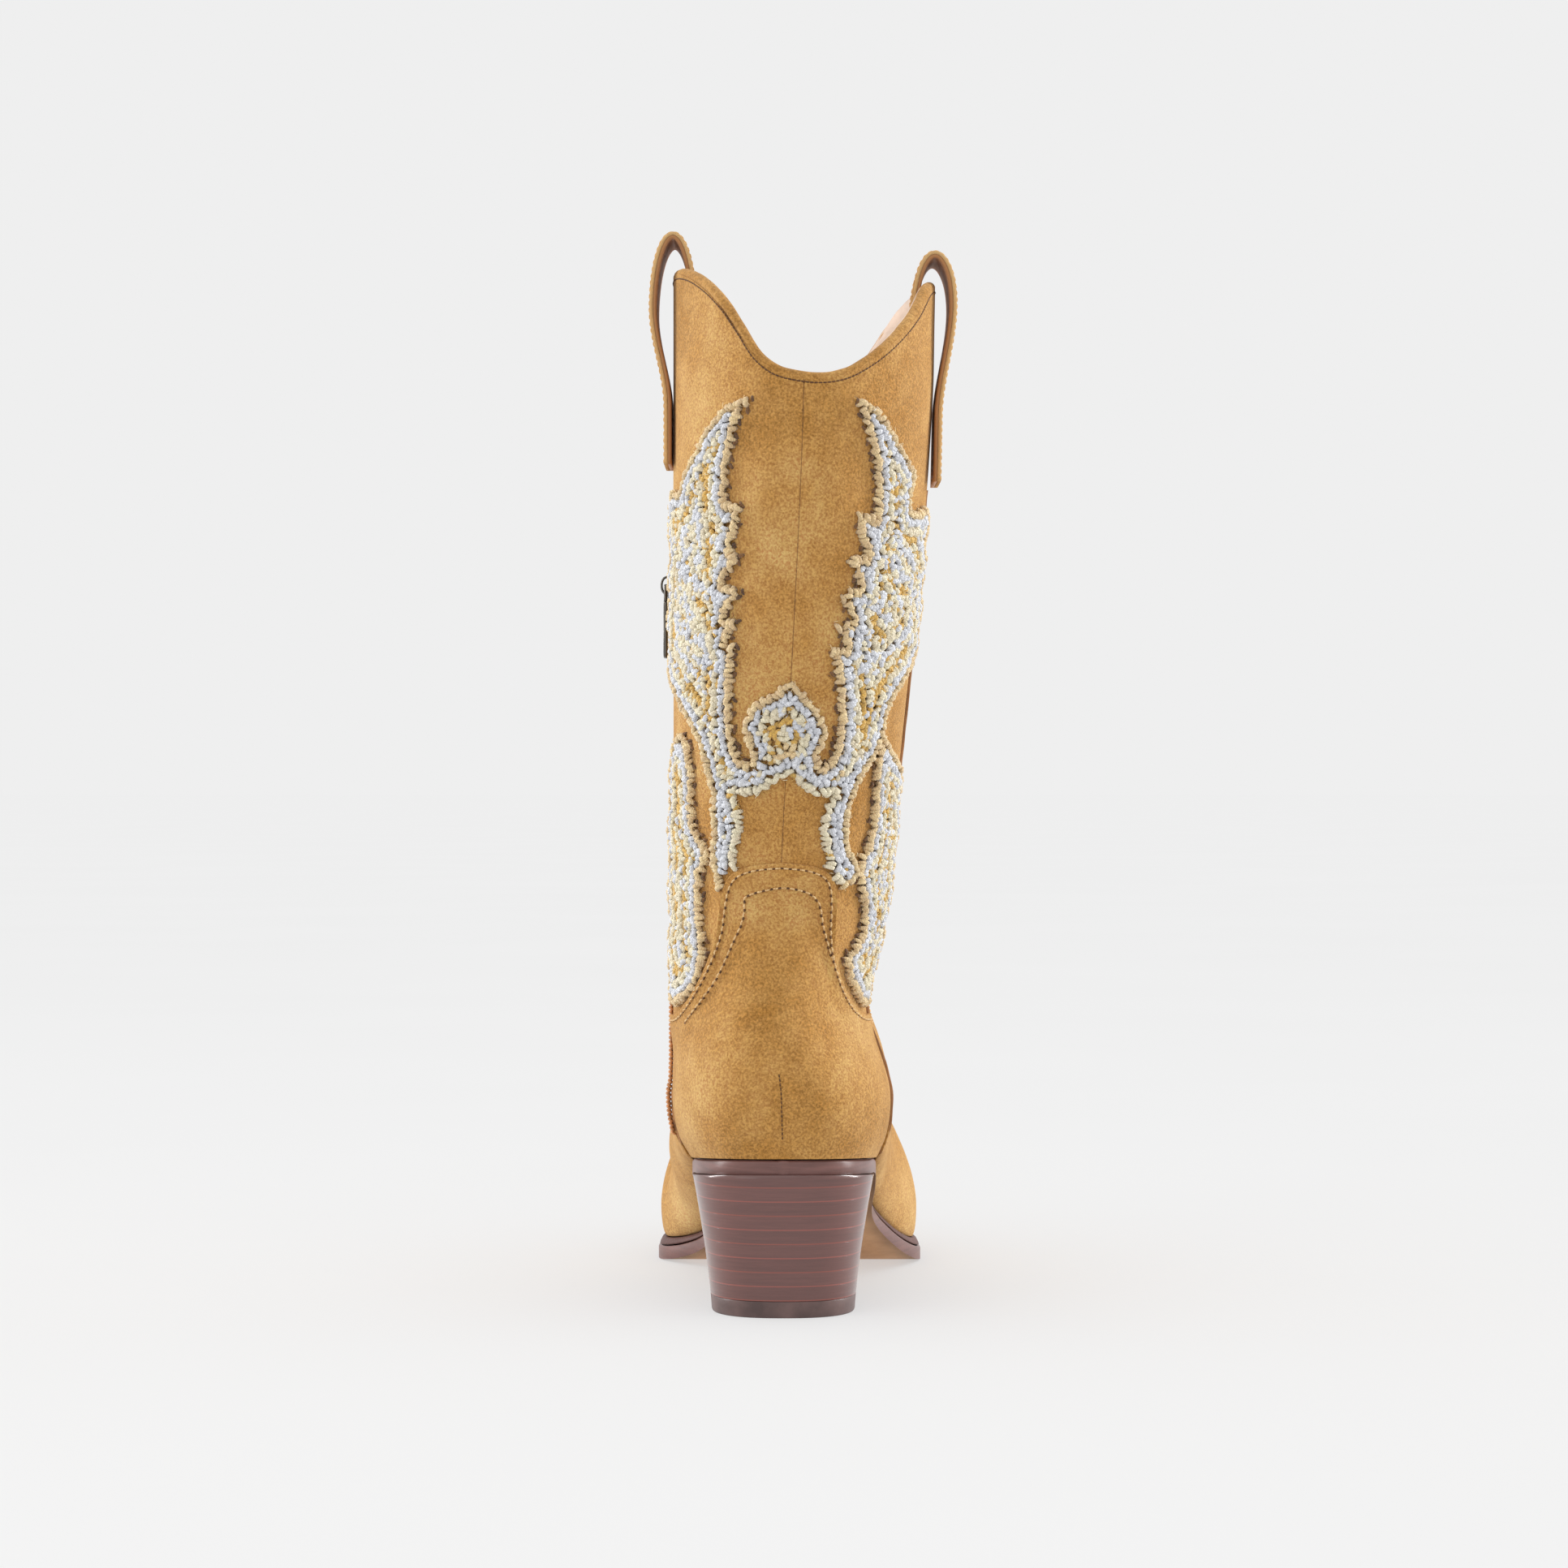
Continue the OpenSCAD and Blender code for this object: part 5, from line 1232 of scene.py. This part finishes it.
class BOOT_OT_embroidery(bpy.types.Operator):
    """Makes the looped yarn embroidery of the back and the front of the shaft"""
    bl_idname = "boot.embroidery"
    bl_label = "Yarn embroidery"

    def execute(self, context):
        c = context.scene.boot_colours
        mats = {
            # The third colour of each yarn is its root colour, used as painted shade low down on the loops.
            "tan": kept("yarn_tan", yarn, shade(c.tan, 0.8), shade(c.tan, 1.08), shade(c.tan, 0.42)),
            # The 'dark' flank loops are painted shade on the inward-facing side of the pile.
            "dark": kept("yarn_flank", yarn, hex_colour("9C6A34"), hex_colour("6A4520"),
                         hex_colour("3F260F")),
            "blue": kept("yarn_blue_grey", yarn, shade(c.blue, 0.85), shade(c.blue, 1.1), shade(c.blue, 0.5)),
            "cream": kept("yarn_cream", yarn, shade(c.cream, 0.88), shade(c.cream, 1.05),
                          shade(c.cream, 0.55)),
            "gold": kept("yarn_gold", yarn, shade(c.gold, 0.75), shade(c.gold, 1.15), shade(c.gold, 0.4)),
        }
        rear_point = lambda q: rear(q[:, 1], look_up(REAR_ARC, q[:, 1], q[:, 0]))
        rear_out = lambda q: rear_normal(q[:, 1], look_up(REAR_ARC, q[:, 1], q[:, 0]))
        above_counter = lambda q: counter_top(look_up(REAR_ARC, q[:, 1], q[:, 0]))
        yarn_panel(context, "back", rear_point, rear_out, above_counter, mats)
        share = lambda q: look_up(FRONT_ARC, q[:, 1] - 150, q[:, 0])
        front_point = lambda q: front(q[:, 1] - 150, share(q))
        front_out = lambda q: front_normal(q[:, 1] - 150, share(q))
        above_vamp = lambda q: tongue(share(q)) + 150
        yarn_panel(context, "front", front_point, front_out, above_vamp, mats)
        return {"FINISHED"}


# ---- zip -----------------------------------------------------------------------------------

TAPE_X = -34.95     # outer face of the zip tapes
COIL_X = TAPE_X - 0.95
COIL_Y = 1.85       # middle of a coil, from the seam
ZIP_LOW, ZIP_HIGH = 57.0, 252.0


class BOOT_OT_zip(bpy.types.Operator):
    """Makes the woven zip tapes, the two coils with their core cords, and the stops"""
    bl_idname = "boot.zip"
    bl_label = "Zip"

    def execute(self, context):
        sizes, colours = scene_settings(context)
        pitch = sizes.coil_pitch / MM
        tape_mat = kept("zip_tape_twill", twill, shade(colours.zip_coil, 0.95),
                        shade(colours.zip_coil, 0.45), 0.8)
        coil_mat = kept("zip_coil_nylon", nylon, shade(colours.zip_coil, 1.5), shade(colours.zip_coil, 0.8))
        metal_mat = metal_material(context)
        # Low down the tapes follow the swell of the counter, and the coils stand out beyond it at the end.
        proud = lambda z: (at(BACK, z, 2) + 35.2) * smooth((110 - z) / 9)
        beyond = lambda z: proud(z) - 0.8 * smooth((77 - z) / 5)
        for side, name in ((1, "front"), (-1, "back")):
            z, y = np.meshgrid(np.linspace(ZIP_LOW - 3, 259, 170), np.linspace(0.45, 8.0, 20), indexing="ij")
            ripple = 0.06 * np.sin(z / 2.3 + y)
            by_coil = smooth((3.5 - y) / 0.5)
            face = lambda x, push: np.stack([x + ripple + mix(proud(z), push(z), by_coil), SEAM_Y + side * y,
                                             z], -1)
            tape = shell_mesh(face(TAPE_X, beyond), face(TAPE_X + 0.5, proud))
            add_piece(f"zip_tape_{name}_weave", tape, tape_mat, f"zip_tape_{name}")
            turns = int((ZIP_HIGH - ZIP_LOW) / pitch)
            t = np.linspace(0, turns, turns * 12 + 1)
            z = ZIP_LOW + pitch * t
            w = 2 * np.pi * t
            path = np.stack([COIL_X + beyond(z) + 0.62 * np.cos(w),
                             SEAM_Y + side * (COIL_Y + 0.98 * np.sin(w)), z], -1)
            tangent = unit(np.gradient(path, axis=0))
            out = unit(np.stack([np.cos(w), side * np.sin(w), 0 * w], -1))
            out = unit(out - np.sum(out * tangent, -1, keepdims=True) * tangent)
            helix = tube_mesh(path, np.cross(tangent, out), out, np.array([[0.36, 0.36]]), 6)
            core_z = np.linspace(ZIP_LOW, ZIP_HIGH, 120)
            core = np.stack([COIL_X + beyond(core_z), SEAM_Y + side * (COIL_Y + 0 * core_z), core_z], -1)
            ones = np.ones((120, 1))
            cord = tube_mesh(core, ones * [0, 1.0, 0], ones * [1.0, 0, 0], np.array([[0.75, 0.45]]), 8)
            add_piece(f"zip_coil_{name}_turns", join([helix, cord]), coil_mat, f"zip_coil_{name}")
        low, high = (np.array(v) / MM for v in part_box("zip_bottom_stop"))
        add_piece("zip_bottom_stop_crimp", crimp(low, high), metal_mat, "zip_bottom_stop")
        low, high = (np.array(v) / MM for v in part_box("zip_top_stops"))
        inner = 0.75
        parts = [crimp(np.array([low[0], a, low[2]]), np.array([high[0], b, high[2]]))
                 for a, b in ((low[1], SEAM_Y - inner), (SEAM_Y + inner, high[1]))]
        add_piece("zip_top_stop_crimps", join(parts), metal_mat, "zip_top_stops")
        return {"FINISHED"}


def crimp(low, high):
    """A crimped metal staple in a box: rounded rings carried up its height, smaller at both ends."""
    u = np.linspace(0, 1, 9)
    z = mix(low[2], high[2], u)
    mid, half = (low + high) / 2, (high - low) / 2
    path = np.stack([mid[0] + 0 * z, mid[1] + 0 * z, z], -1)
    shrink = 1 - 0.3 * np.abs(2 * u - 1)[:, None] ** 4 + 0.04 * np.cos(u[:, None] * 12)
    ones = np.ones((9, 1))
    return tube_mesh(path, ones * [1.0, 0, 0], ones * [0, 1.0, 0], shrink * half[None, :2] / 1.05, 16,
                     power=0.45)


def chaikin(ring, times=2):
    """A closed ring with its corners cut, each pass a quarter from both ends of every side."""
    for _ in range(times):
        nxt = np.roll(ring, -1, 0)
        ring = np.stack([0.75 * ring + 0.25 * nxt, 0.25 * ring + 0.75 * nxt], 1).reshape(-1, ring.shape[1])
    return ring


def plate(outline, x_low, x_high, bevel, crown=0.0):
    """A flat plate with softened rims: an outline in Y and Z at six depths in X, drawn in at both faces."""
    centre = outline.mean(0)
    x = np.array([x_low - crown, x_low, x_low + bevel, x_high - bevel, x_high, x_high + crown])
    inset = np.array([bevel + crown * 3, bevel * 0.6, 0, 0, bevel * 0.6, bevel + crown * 3])
    reach = np.linalg.norm(outline - centre, axis=1, keepdims=True)
    rings = [np.concatenate([np.full((len(outline), 1), x[k]),
                             centre + (outline - centre) * (1 - inset[k] / reach)], 1)
             for k in range(6)]
    n = len(outline)
    caps = np.stack([np.arange(n), np.arange(6 * n - 1, 5 * n - 1, -1)])
    return np.concatenate(rings), [grid_faces(6, n, False, True)[:, ::-1], caps]


def bar(path, across, r1, r2, sides=10, power=0.7):
    """A rounded bar along a path, with the given direction as its first cross axis and pinched ends."""
    tangent = unit(np.gradient(path, axis=0))
    across = np.broadcast_to(np.asarray(across, float), path.shape)
    ends = np.minimum(1, 0.55 + 0.45 * np.minimum(np.arange(len(path)), np.arange(len(path))[::-1]))[:, None]
    return tube_mesh(path, across, np.cross(tangent, across), ends * np.array([[r1, r2]]), sides, power=power)


class BOOT_OT_slider(bpy.types.Operator):
    """Makes the zip slider with its bridge, and the pull tab that hangs from it"""
    bl_idname = "boot.slider"
    bl_label = "Slider and pull"

    def execute(self, context):
        mat = metal_material(context)
        top, bottom = 251.7, 241.7
        shield = chaikin(np.array([[-3.6, top], [3.6, top], [4.0, top - 2.2], [3.1, top - 5.2],
                                   [3.5, bottom + 0.9],
                                   [2.8, bottom], [-2.8, bottom], [-3.5, bottom + 0.9], [-3.1, top - 5.2],
                                   [-4.0, top - 2.2]])) + [SEAM_Y, 0]
        parts = [plate(shield, -39.0, -37.3, 0.35, 0.12), plate(shield, -34.1, -33.2, 0.25)]
        nose = np.stack([np.linspace(-37.5, -33.9, 6), SEAM_Y + np.zeros(6), top - 2 + np.zeros(6)], -1)
        parts.append(bar(nose, [0, 1.0, 0], 0.34, 1.9))
        for y in (-3.75, 3.75):
            z = np.linspace(bottom + 0.4, top - 0.4, 8)
            rim = np.stack([-36.2 + 0 * z, SEAM_Y + y + 0 * z, z], -1)
            parts.append(bar(rim, [0, 1.0, 0], 0.24, 1.1))
        a = np.radians(np.linspace(0, 180, 18))
        arch = np.stack([-38.4 - 2.75 * np.sin(a) ** 0.6, SEAM_Y + 0 * a, 248.4 - 3.0 * np.cos(a) + 0.3], -1)
        parts.append(bar(arch, [0, 1.0, 0], 0.9, 0.42))
        add_piece("zip_slider_body", join(parts), mat, "zip_slider", body="slider")
        pin_x, pin_z = -39.7, 248.2
        y = np.linspace(-1.5, 1.5, 8)
        tab = [bar(np.stack([pin_x + 0 * y, SEAM_Y + y, pin_z + 0 * y], -1), [1.0, 0, 0], 0.6, 0.6)]
        k = np.linspace(0, 2 * np.pi, 40, endpoint=False)
        se = lambda v: np.sign(v) * np.abs(v) ** 0.55
        eye = np.stack([pin_x + 0 * k, SEAM_Y + 2.15 * se(np.cos(k)), pin_z - 2.35 + 2.65 * se(np.sin(k))],
                       -1)
        tangent = unit(np.roll(eye, -1, 0) - np.roll(eye, 1, 0))
        x_dir = np.broadcast_to([1.0, 0, 0], eye.shape)
        tab.append(tube_mesh(eye, x_dir, np.cross(tangent, x_dir), np.array([[0.62, 0.72]]), 10, True, 0.8))
        drop = chaikin(np.array([[-2.4, -4.4], [2.4, -4.4], [2.9, -9], [4.2, -19], [4.0, -23.4], [2.4, -25],
                                 [-2.4, -25], [-4.0, -23.4], [-4.2, -19], [-2.9, -9]])) + [SEAM_Y, pin_z]
        tab.append(plate(drop, pin_x - 0.65, pin_x + 0.65, 0.3, 0.08))
        add_piece("zip_pull_drop", join(tab), mat, "zip_pull_tab", body="pull_tab")
        return {"FINISHED"}


# ---- sole and heel -------------------------------------------------------------------------

def sole_w(y):
    return float(np.degrees(np.arcsin((y - SEAM_Y) / (TOE_Y - SEAM_Y))) / 90)


def sole_edge(w, side):
    """Edge of the upper at the sole: w from -1 (back of the heel) over 0 (side seam) to 1 (toe)."""
    y = SEAM_Y + (TOE_Y - SEAM_Y) * np.sin(np.radians(90 * np.maximum(w, 0)))
    heel = rear(48.5, np.where(side == LATERAL, -90 * w, 180 + 90 * w))
    flat = np.stack([at(SOLE, y, 2 if side == MEDIAL else 3), y, 0 * y], -1)
    return np.where((w < 0)[:, None], heel, flat)


def sole_point(w, side, off):
    """The sole edge moved out along its own normal in plan, at the height of the upper's lower edge."""
    t = sole_edge(np.minimum(w + 0.01, 1), side) - sole_edge(np.maximum(w - 0.01, -0.99), side)
    t = t / np.linalg.norm(t[:, :2], axis=1, keepdims=True)
    p = sole_edge(w, side)
    x, y = p[:, 0] + off * side * t[:, 1], p[:, 1] - off * side * t[:, 0]
    return np.stack([x, y, at(SOLE, y, 1)], -1)


def welt_depth(y):
    return 3.2 * smooth((y - 30) / 18)


def stand_out(y):
    return -0.45 - 0.75 * smooth((y + 22) / 14) + 2.4 * smooth((y - 16) / 34) + 2.0 * smooth((y - 66) / 45)


def sole_outline(w, off, inset, columns):
    """Closed outline: up the inner side, round the toe, down the outer side, round the heel."""
    m, l = (sole_point(w, side, off(sole_edge(w, side)[:, 1]) - inset) for side in (MEDIAL, LATERAL))
    c = np.linspace(0, 1, columns)[1:-1, None]
    ends = []
    for a, b, way in ((m[-1], l[-1], 1), (l[0], m[0], -1)):
        arc = mix(a, b, c)
        arc[:, 1:2] += way * 4 * c * (1 - c) * min(1.0, 0.14 * np.linalg.norm(b - a))
        arc[:, 2] = at(SOLE, arc[:, 1], 1)
        ends.append(arc)
    p = np.concatenate([m, ends[0], l[::-1], ends[1]])
    toe = smooth((p[:, 1:2] - TOE_Y + 9) / 6)
    for _ in range(40):
        p = mix(p, (np.roll(p, 1, 0) + np.roll(p, -1, 0)) / 2, 0.5 * toe)
    return p


def sole_slab(w, off, top, low, bevel, columns=9):
    """A slab that follows the sole line: a wall with softened rims round the outline, and a top and an
    underside laid as a grid from side to side. Also gives 1 on the wall and 0 on the underside."""
    rims = [(1, 0, 0), (0.3, 0, 0.15), (0, 0, 0.8), (0, 1, -0.1), (0.03, 1, -0.02), (0.1, 1, 0)]
    rings = []
    for inset, bottom, sink in rims:
        p = sole_outline(w, off, inset * bevel, columns)
        p[:, 2] -= (low if bottom else top)(p[:, 1]) + sink * bevel
        rings.append(p)
    k, n = len(rings[0]), len(w)
    points, faces, marks = rings, [grid_faces(6, k, False, True)], [np.ones(k)] * 5 + [np.zeros(k)]
    total = 6 * k
    for ring, turned in ((0, False), (5, True)):
        start = ring * k
        index = np.empty((n, columns), int)
        index[:, 0] = start + np.arange(n)
        index[:, -1] = start + n + columns - 2 + np.arange(n)[::-1]
        index[-1, 1:-1] = start + n + np.arange(columns - 2)
        index[0, 1:-1] = start + 2 * n + columns - 2 + np.arange(columns - 2)[::-1]
        index[1:-1, 1:-1] = total + np.arange((n - 2) * (columns - 2)).reshape(n - 2, columns - 2)
        total += (n - 2) * (columns - 2)
        m, l = rings[ring][:n], rings[ring][n + columns - 2:2 * n + columns - 2][::-1]
        c = np.linspace(0, 1, columns)[None, 1:-1, None]
        points.append(mix(m[1:-1, None], l[1:-1, None], c).reshape(-1, 3))
        marks.append(np.full((n - 2) * (columns - 2), 0.0 if turned else 1.0))
        quads = np.stack([index[:-1, :-1], index[:-1, 1:], index[1:, 1:], index[1:, :-1]], -1).reshape(-1, 4)
        faces.append(quads if turned else quads[:, ::-1])
    return (np.concatenate(points), faces), np.concatenate(marks)


class BOOT_OT_sole(bpy.types.Operator):
    """Makes the outsole and the welt, with their stained and burnished edges"""
    bl_idname = "boot.sole"
    bl_label = "Sole"

    def execute(self, context):
        c = context.scene.boot_colours
        w = np.concatenate([np.linspace(-0.985, 0, 40)[:-1], np.linspace(0, 0.9, 90)[:-1],
                            np.linspace(0.9, 1, 30)])
        slab, marks = sole_slab(w, stand_out, lambda y: 0.4 + welt_depth(y), lambda y: 5.38 + welt_depth(y),
                                1.1)
        mat = kept("sole_leather", sole_leather, shade(c.sole_edge, 1.15), shade(c.sole_edge, 0.75),
                   hex_colour("C9996A"), hex_colour("A9794C"))
        add_piece("outsole_leather", slab, mat, "outsole", marks={"edge": marks})
        start = sole_w(38)
        w = np.concatenate([np.linspace(start, 0.9, 90)[:-1], np.linspace(0.9, 1, 30)])
        rings = []
        for inset, depth in ((2.4, 0.1), (1.5, 0.25), (0.75, 0.75), (0.55, 1.0), (0.6, 1.0), (3.0, 1.0)):
            keep = len(w) * 2 + 7
            p = sole_outline(w, stand_out, inset if inset < 2.9 else 6.0, 9)[:keep]
            p[:, 2] -= 0.15 + (welt_depth(p[:, 1]) - 0.25) * depth
            rings.append(p)
        inner = sole_outline(w, stand_out, 6.0, 9)[:len(w) * 2 + 7]
        inner[:, 2] -= 0.15
        rings.append(inner)
        grid = np.stack(rings, 1)
        faces = [grid_faces(len(grid), 7, False, True),
                 np.stack([np.arange(7)[::-1], (len(grid) - 1) * 7 + np.arange(7)])]
        mat = kept("welt_leather", leather, shade(c.sole_edge, 0.8), shade(c.sole_edge, 0.45), 1.2, 0.5)
        add_piece("welt_strip", (grid.reshape(-1, 3), faces), mat, "welt")
        return {"FINISHED"}


LIFT, TOP_LIFT = 4.8, 5.8     # thickness of a leather lift, and height at which the first one starts


def heel_ring(z, inset=0.0, columns=60):
    """Outline of the heel at a height: a round back and a slightly hollow breast, drawn in by inset."""
    h = z / 49.0
    half = mix(24.5, 31.6, max(h, 0) ** 1.3) - inset
    back, front_y, mid = mix(-23, -29.6, h) + inset, mix(23, 28.6, h) - inset, mix(4, 6, h)
    a = np.linspace(0, np.pi, columns)
    c, s = np.cos(a), np.maximum(np.sin(a), 0)
    round_back = np.stack([1.4 + half * np.sign(c) * np.abs(c) ** 0.8, mid + (back - mid) * s ** 0.8,
                           0 * a + z], -1)
    u = np.linspace(-1, 1, 15)
    breast = np.stack([1.4 + 0.95 * half * u, front_y - 2.2 * (1 - u * u), 0 * u + z], -1)
    return chaikin(np.concatenate([round_back, breast]), 1)


def heel_layer(z0, z1, bevel, line, under=()):
    """One layer of the heel: rings with softened rims; the marks are 1 on its lowest, stained line."""
    steps = list(under) + [(z0, bevel, 1), (z0 + 0.01, bevel * 0.4, 1), (z0 + bevel + 0.02, 0, 1),
                           (z0 + line, 0, 1),
                           (z0 + line + 0.1, 0, 0), ((z0 + z1) / 2, 0, 0), (z1 - bevel - 0.02, 0, 0),
                           (z1 - 0.01, bevel * 0.4, 0), (z1, bevel, 0)]
    rings = [heel_ring(z, inset) for z, inset, _ in steps]
    n = len(rings[0])
    faces = [grid_faces(len(steps), n, False, True),
             np.stack([np.arange(n)[::-1], (len(steps) - 1) * n + np.arange(n)])]
    marks = np.concatenate([np.full(n, float(m)) for _, _, m in steps])
    return np.concatenate(rings), faces, marks


class BOOT_OT_heel(bpy.types.Operator):
    """Makes the nine leather lifts of the stacked heel, and the rubber top lift with its nail heads"""
    bl_idname = "boot.heel"
    bl_label = "Stacked heel"

    def execute(self, context):
        c = context.scene.boot_colours
        leather_a = kept("heel_leather", stacked_leather, shade(c.heel, 1.12), shade(c.heel, 0.85),
                         hex_colour("8F4A40"))
        leather_b = kept("heel_leather_darker", stacked_leather, shade(c.heel, 1.02), shade(c.heel, 0.78),
                         hex_colour("874438"))
        for i in range(1, 10):
            points, faces, marks = heel_layer(TOP_LIFT + (i - 1) * LIFT, TOP_LIFT + i * LIFT, 0.012, 0.36)
            if i == 9:
                points[:, 1] = np.minimum(points[:, 1], 17.8)
            if i >= 8:
                seat = 48.64 - (points[:, 1] + 29) * 0.0932
                points[:, 2] = np.minimum(points[:, 2], seat)
            add_piece(f"heel_lift_{i}_leather", (points, faces), leather_b if i % 2 else leather_a,
                      f"heel_lift_{i}", marks={"edge": marks})
        points, faces, marks = heel_layer(0.0, 5.76, 0.5, 0.6,
                                          under=[(0.15, 3.0, 0), (0.12, 1.4, 0), (0.0, 1.0, 0)])
        add_piece("top_lift_rubber", (points, faces), kept("heel_rubber", rubber, hex_colour("6A504C"),
                  hex_colour("4E3936")), "rubber_top_lift")
        heads = []
        for a in np.radians([20, 90, 160, 215, 325]):
            k = np.linspace(0, 1, 7)
            path = np.stack([1.4 + 17 * np.cos(a) + 0 * k, -2 - 15 * np.sin(a) + 0 * k, 0.03 + 0.5 * k], -1)
            size = np.array([[0.5, 0.5]]) * (0.6 + 1.4 * np.sqrt(np.clip(k * 2, 0, 1)))[:, None]
            ones = np.ones((7, 1))
            heads.append(tube_mesh(path, ones * [1.0, 0, 0], ones * [0, 1.0, 0], size, 16))
        add_piece("top_lift_nail_heads", join(heads), metal_material(context), "top_lift_nails")
        return {"FINISHED"}


class BOOT_OT_inside(bpy.types.Operator):
    """Gives the hidden boards, shank, screw and nails their finishes"""
    bl_idname = "boot.inside"
    bl_label = "Hidden parts"

    def execute(self, context):
        finishes = {
            "fibre_board": (kept("fibre_board", board, hex_colour("B8966A"), hex_colour("8C6B45")),
                            ("insole_board", "heel_stiffener", "toe_puff")),
            "cork_filler": (kept("cork_filler", board, hex_colour("A9814F"), hex_colour("6F4F2C")),
                            ("forepart_filler",)),
            "steel": (kept("spring_steel", metal, hex_colour("9EA0A6"), 0.32, 0.8),
                      ("steel_shank", "heel_screw", "heel_nails")),
        }
        for mat, names in finishes.values():
            for name in names:
                mesh = bpy.data.objects[name].data
                mesh.materials.clear()
                mesh.materials.append(mat)
        return {"FINISHED"}


# ---- stage ---------------------------------------------------------------------------------

def area_light(name, place, target, width, height, watts):
    """A soft panel of light at a place, in metres, turned to a target."""
    data = bpy.data.lights.new(name, "AREA")
    data.shape, data.size, data.size_y, data.energy = "RECTANGLE", width, height, watts
    lamp = bpy.data.objects.new(name, data)
    bpy.context.scene.collection.objects.link(lamp)
    lamp.location = place
    way = np.array(target) - np.array(place)
    lamp.rotation_euler = (np.arctan2(np.hypot(way[0], way[1]), -way[2]), 0,
                           np.arctan2(way[1], way[0]) - np.pi / 2)
    return lamp


PAPER = (0.863, 0.863, 0.863, 1)     # linear grey of the floor and the surround


class BOOT_OT_stage(bpy.types.Operator):
    """Makes the studio: pale floor, even surround, softboxes and the camera"""
    bl_idname = "boot.stage"
    bl_label = "Studio"

    def execute(self, context):
        scene = context.scene
        t, r = np.meshgrid(np.linspace(0, 2 * np.pi, 96, endpoint=False),
                           np.array([0.5, 0.6, 1.2, 3, 8, 30, 60]) / MM)
        ring = np.stack([r * np.cos(t), r * np.sin(t), 0 * r - 0.02], -1).reshape(-1, 3)
        mesh = bpy.data.meshes.new("studio_floor")
        mesh.from_pydata((ring * MM).tolist(), [],
                         [list(range(96))] + grid_faces(7, 96, False, True).tolist())
        mesh.update()
        floor = bpy.data.objects.new("studio_floor", mesh)
        scene.collection.objects.link(floor)
        mesh.materials.append(studio_paper("studio_paper", PAPER, 0.5))
        world = bpy.data.worlds.new("surround")
        world.use_nodes = True
        world.node_tree.nodes["Background"].inputs["Color"].default_value = PAPER
        world.node_tree.nodes["Background"].inputs["Strength"].default_value = 1.0
        scene.world = world
        middle = (0.0, 0.05, 0.17)
        area_light("top_softbox", (-0.25, -0.35, 1.5), middle, 1.6, 1.6, 2.2)
        unlit = bpy.data.collections.new("not_lit_by_side_strips")
        unlit.objects.link(floor)
        for name, x in (("side_strip_left", -1.1), ("side_strip_right", 1.1)):
            lamp = area_light(name, (x, 0.32, 0.62), middle, 0.2, 1.1, 10 if x < 0 else 12)
            lamp.light_linking.receiver_collection = unlit
        unlit.collection_objects[0].light_linking.link_state = "EXCLUDE"
        area_light("key_left", (-0.9, -1.1, 0.9), middle, 0.8, 0.8, 1.4)
        data = bpy.data.cameras.new("camera")
        data.lens, data.sensor_width = 85, 36
        data.clip_start, data.clip_end = 0.05, 200
        camera = bpy.data.objects.new("camera", data)
        scene.collection.objects.link(camera)
        camera.location = (0.00165, -1.265, 0.1793)
        camera.rotation_euler = (np.pi / 2, 0, 0)
        scene.camera = camera
        scene.view_settings.view_transform = "Standard"
        scene.view_settings.look = "None"
        return {"FINISHED"}


STEPS = (BOOT_OT_stage, BOOT_OT_shaft, BOOT_OT_foot, BOOT_OT_linings, BOOT_OT_topline, BOOT_OT_straps,
         BOOT_OT_seams, BOOT_OT_embroidery, BOOT_OT_zip, BOOT_OT_slider, BOOT_OT_sole, BOOT_OT_heel,
         BOOT_OT_inside)


class BOOT_PT_panel(bpy.types.Panel):
    """Lists the sizes, the colours and the steps that make the boot"""
    bl_idname = "BOOT_PT_panel"
    bl_label = "Cowboy boot"
    bl_space_type = "VIEW_3D"
    bl_region_type = "UI"
    bl_category = "Boot"

    def draw(self, context):
        for title, group in (("Sizes", context.scene.boot_sizes), ("Colours", context.scene.boot_colours)):
            box = self.layout.box()
            box.label(text=title)
            for key in group.bl_rna.properties.keys():
                if key not in ("rna_type", "name"):
                    box.prop(group, key)
        for step in STEPS:
            self.layout.operator(step.bl_idname)


CLASSES = (BootSizes, BootColours, *STEPS, BOOT_PT_panel)


def register():
    for cls in CLASSES:
        bpy.utils.register_class(cls)
    bpy.types.Scene.boot_sizes = bpy.props.PointerProperty(type=BootSizes)
    bpy.types.Scene.boot_colours = bpy.props.PointerProperty(type=BootColours)


def unregister():
    del bpy.types.Scene.boot_colours
    del bpy.types.Scene.boot_sizes
    for cls in reversed(CLASSES):
        bpy.utils.unregister_class(cls)


def main():
    register()
    for step in STEPS:
        group, name = step.bl_idname.split(".")
        getattr(getattr(bpy.ops, group), name)()


if __name__ == "__main__":
    main()
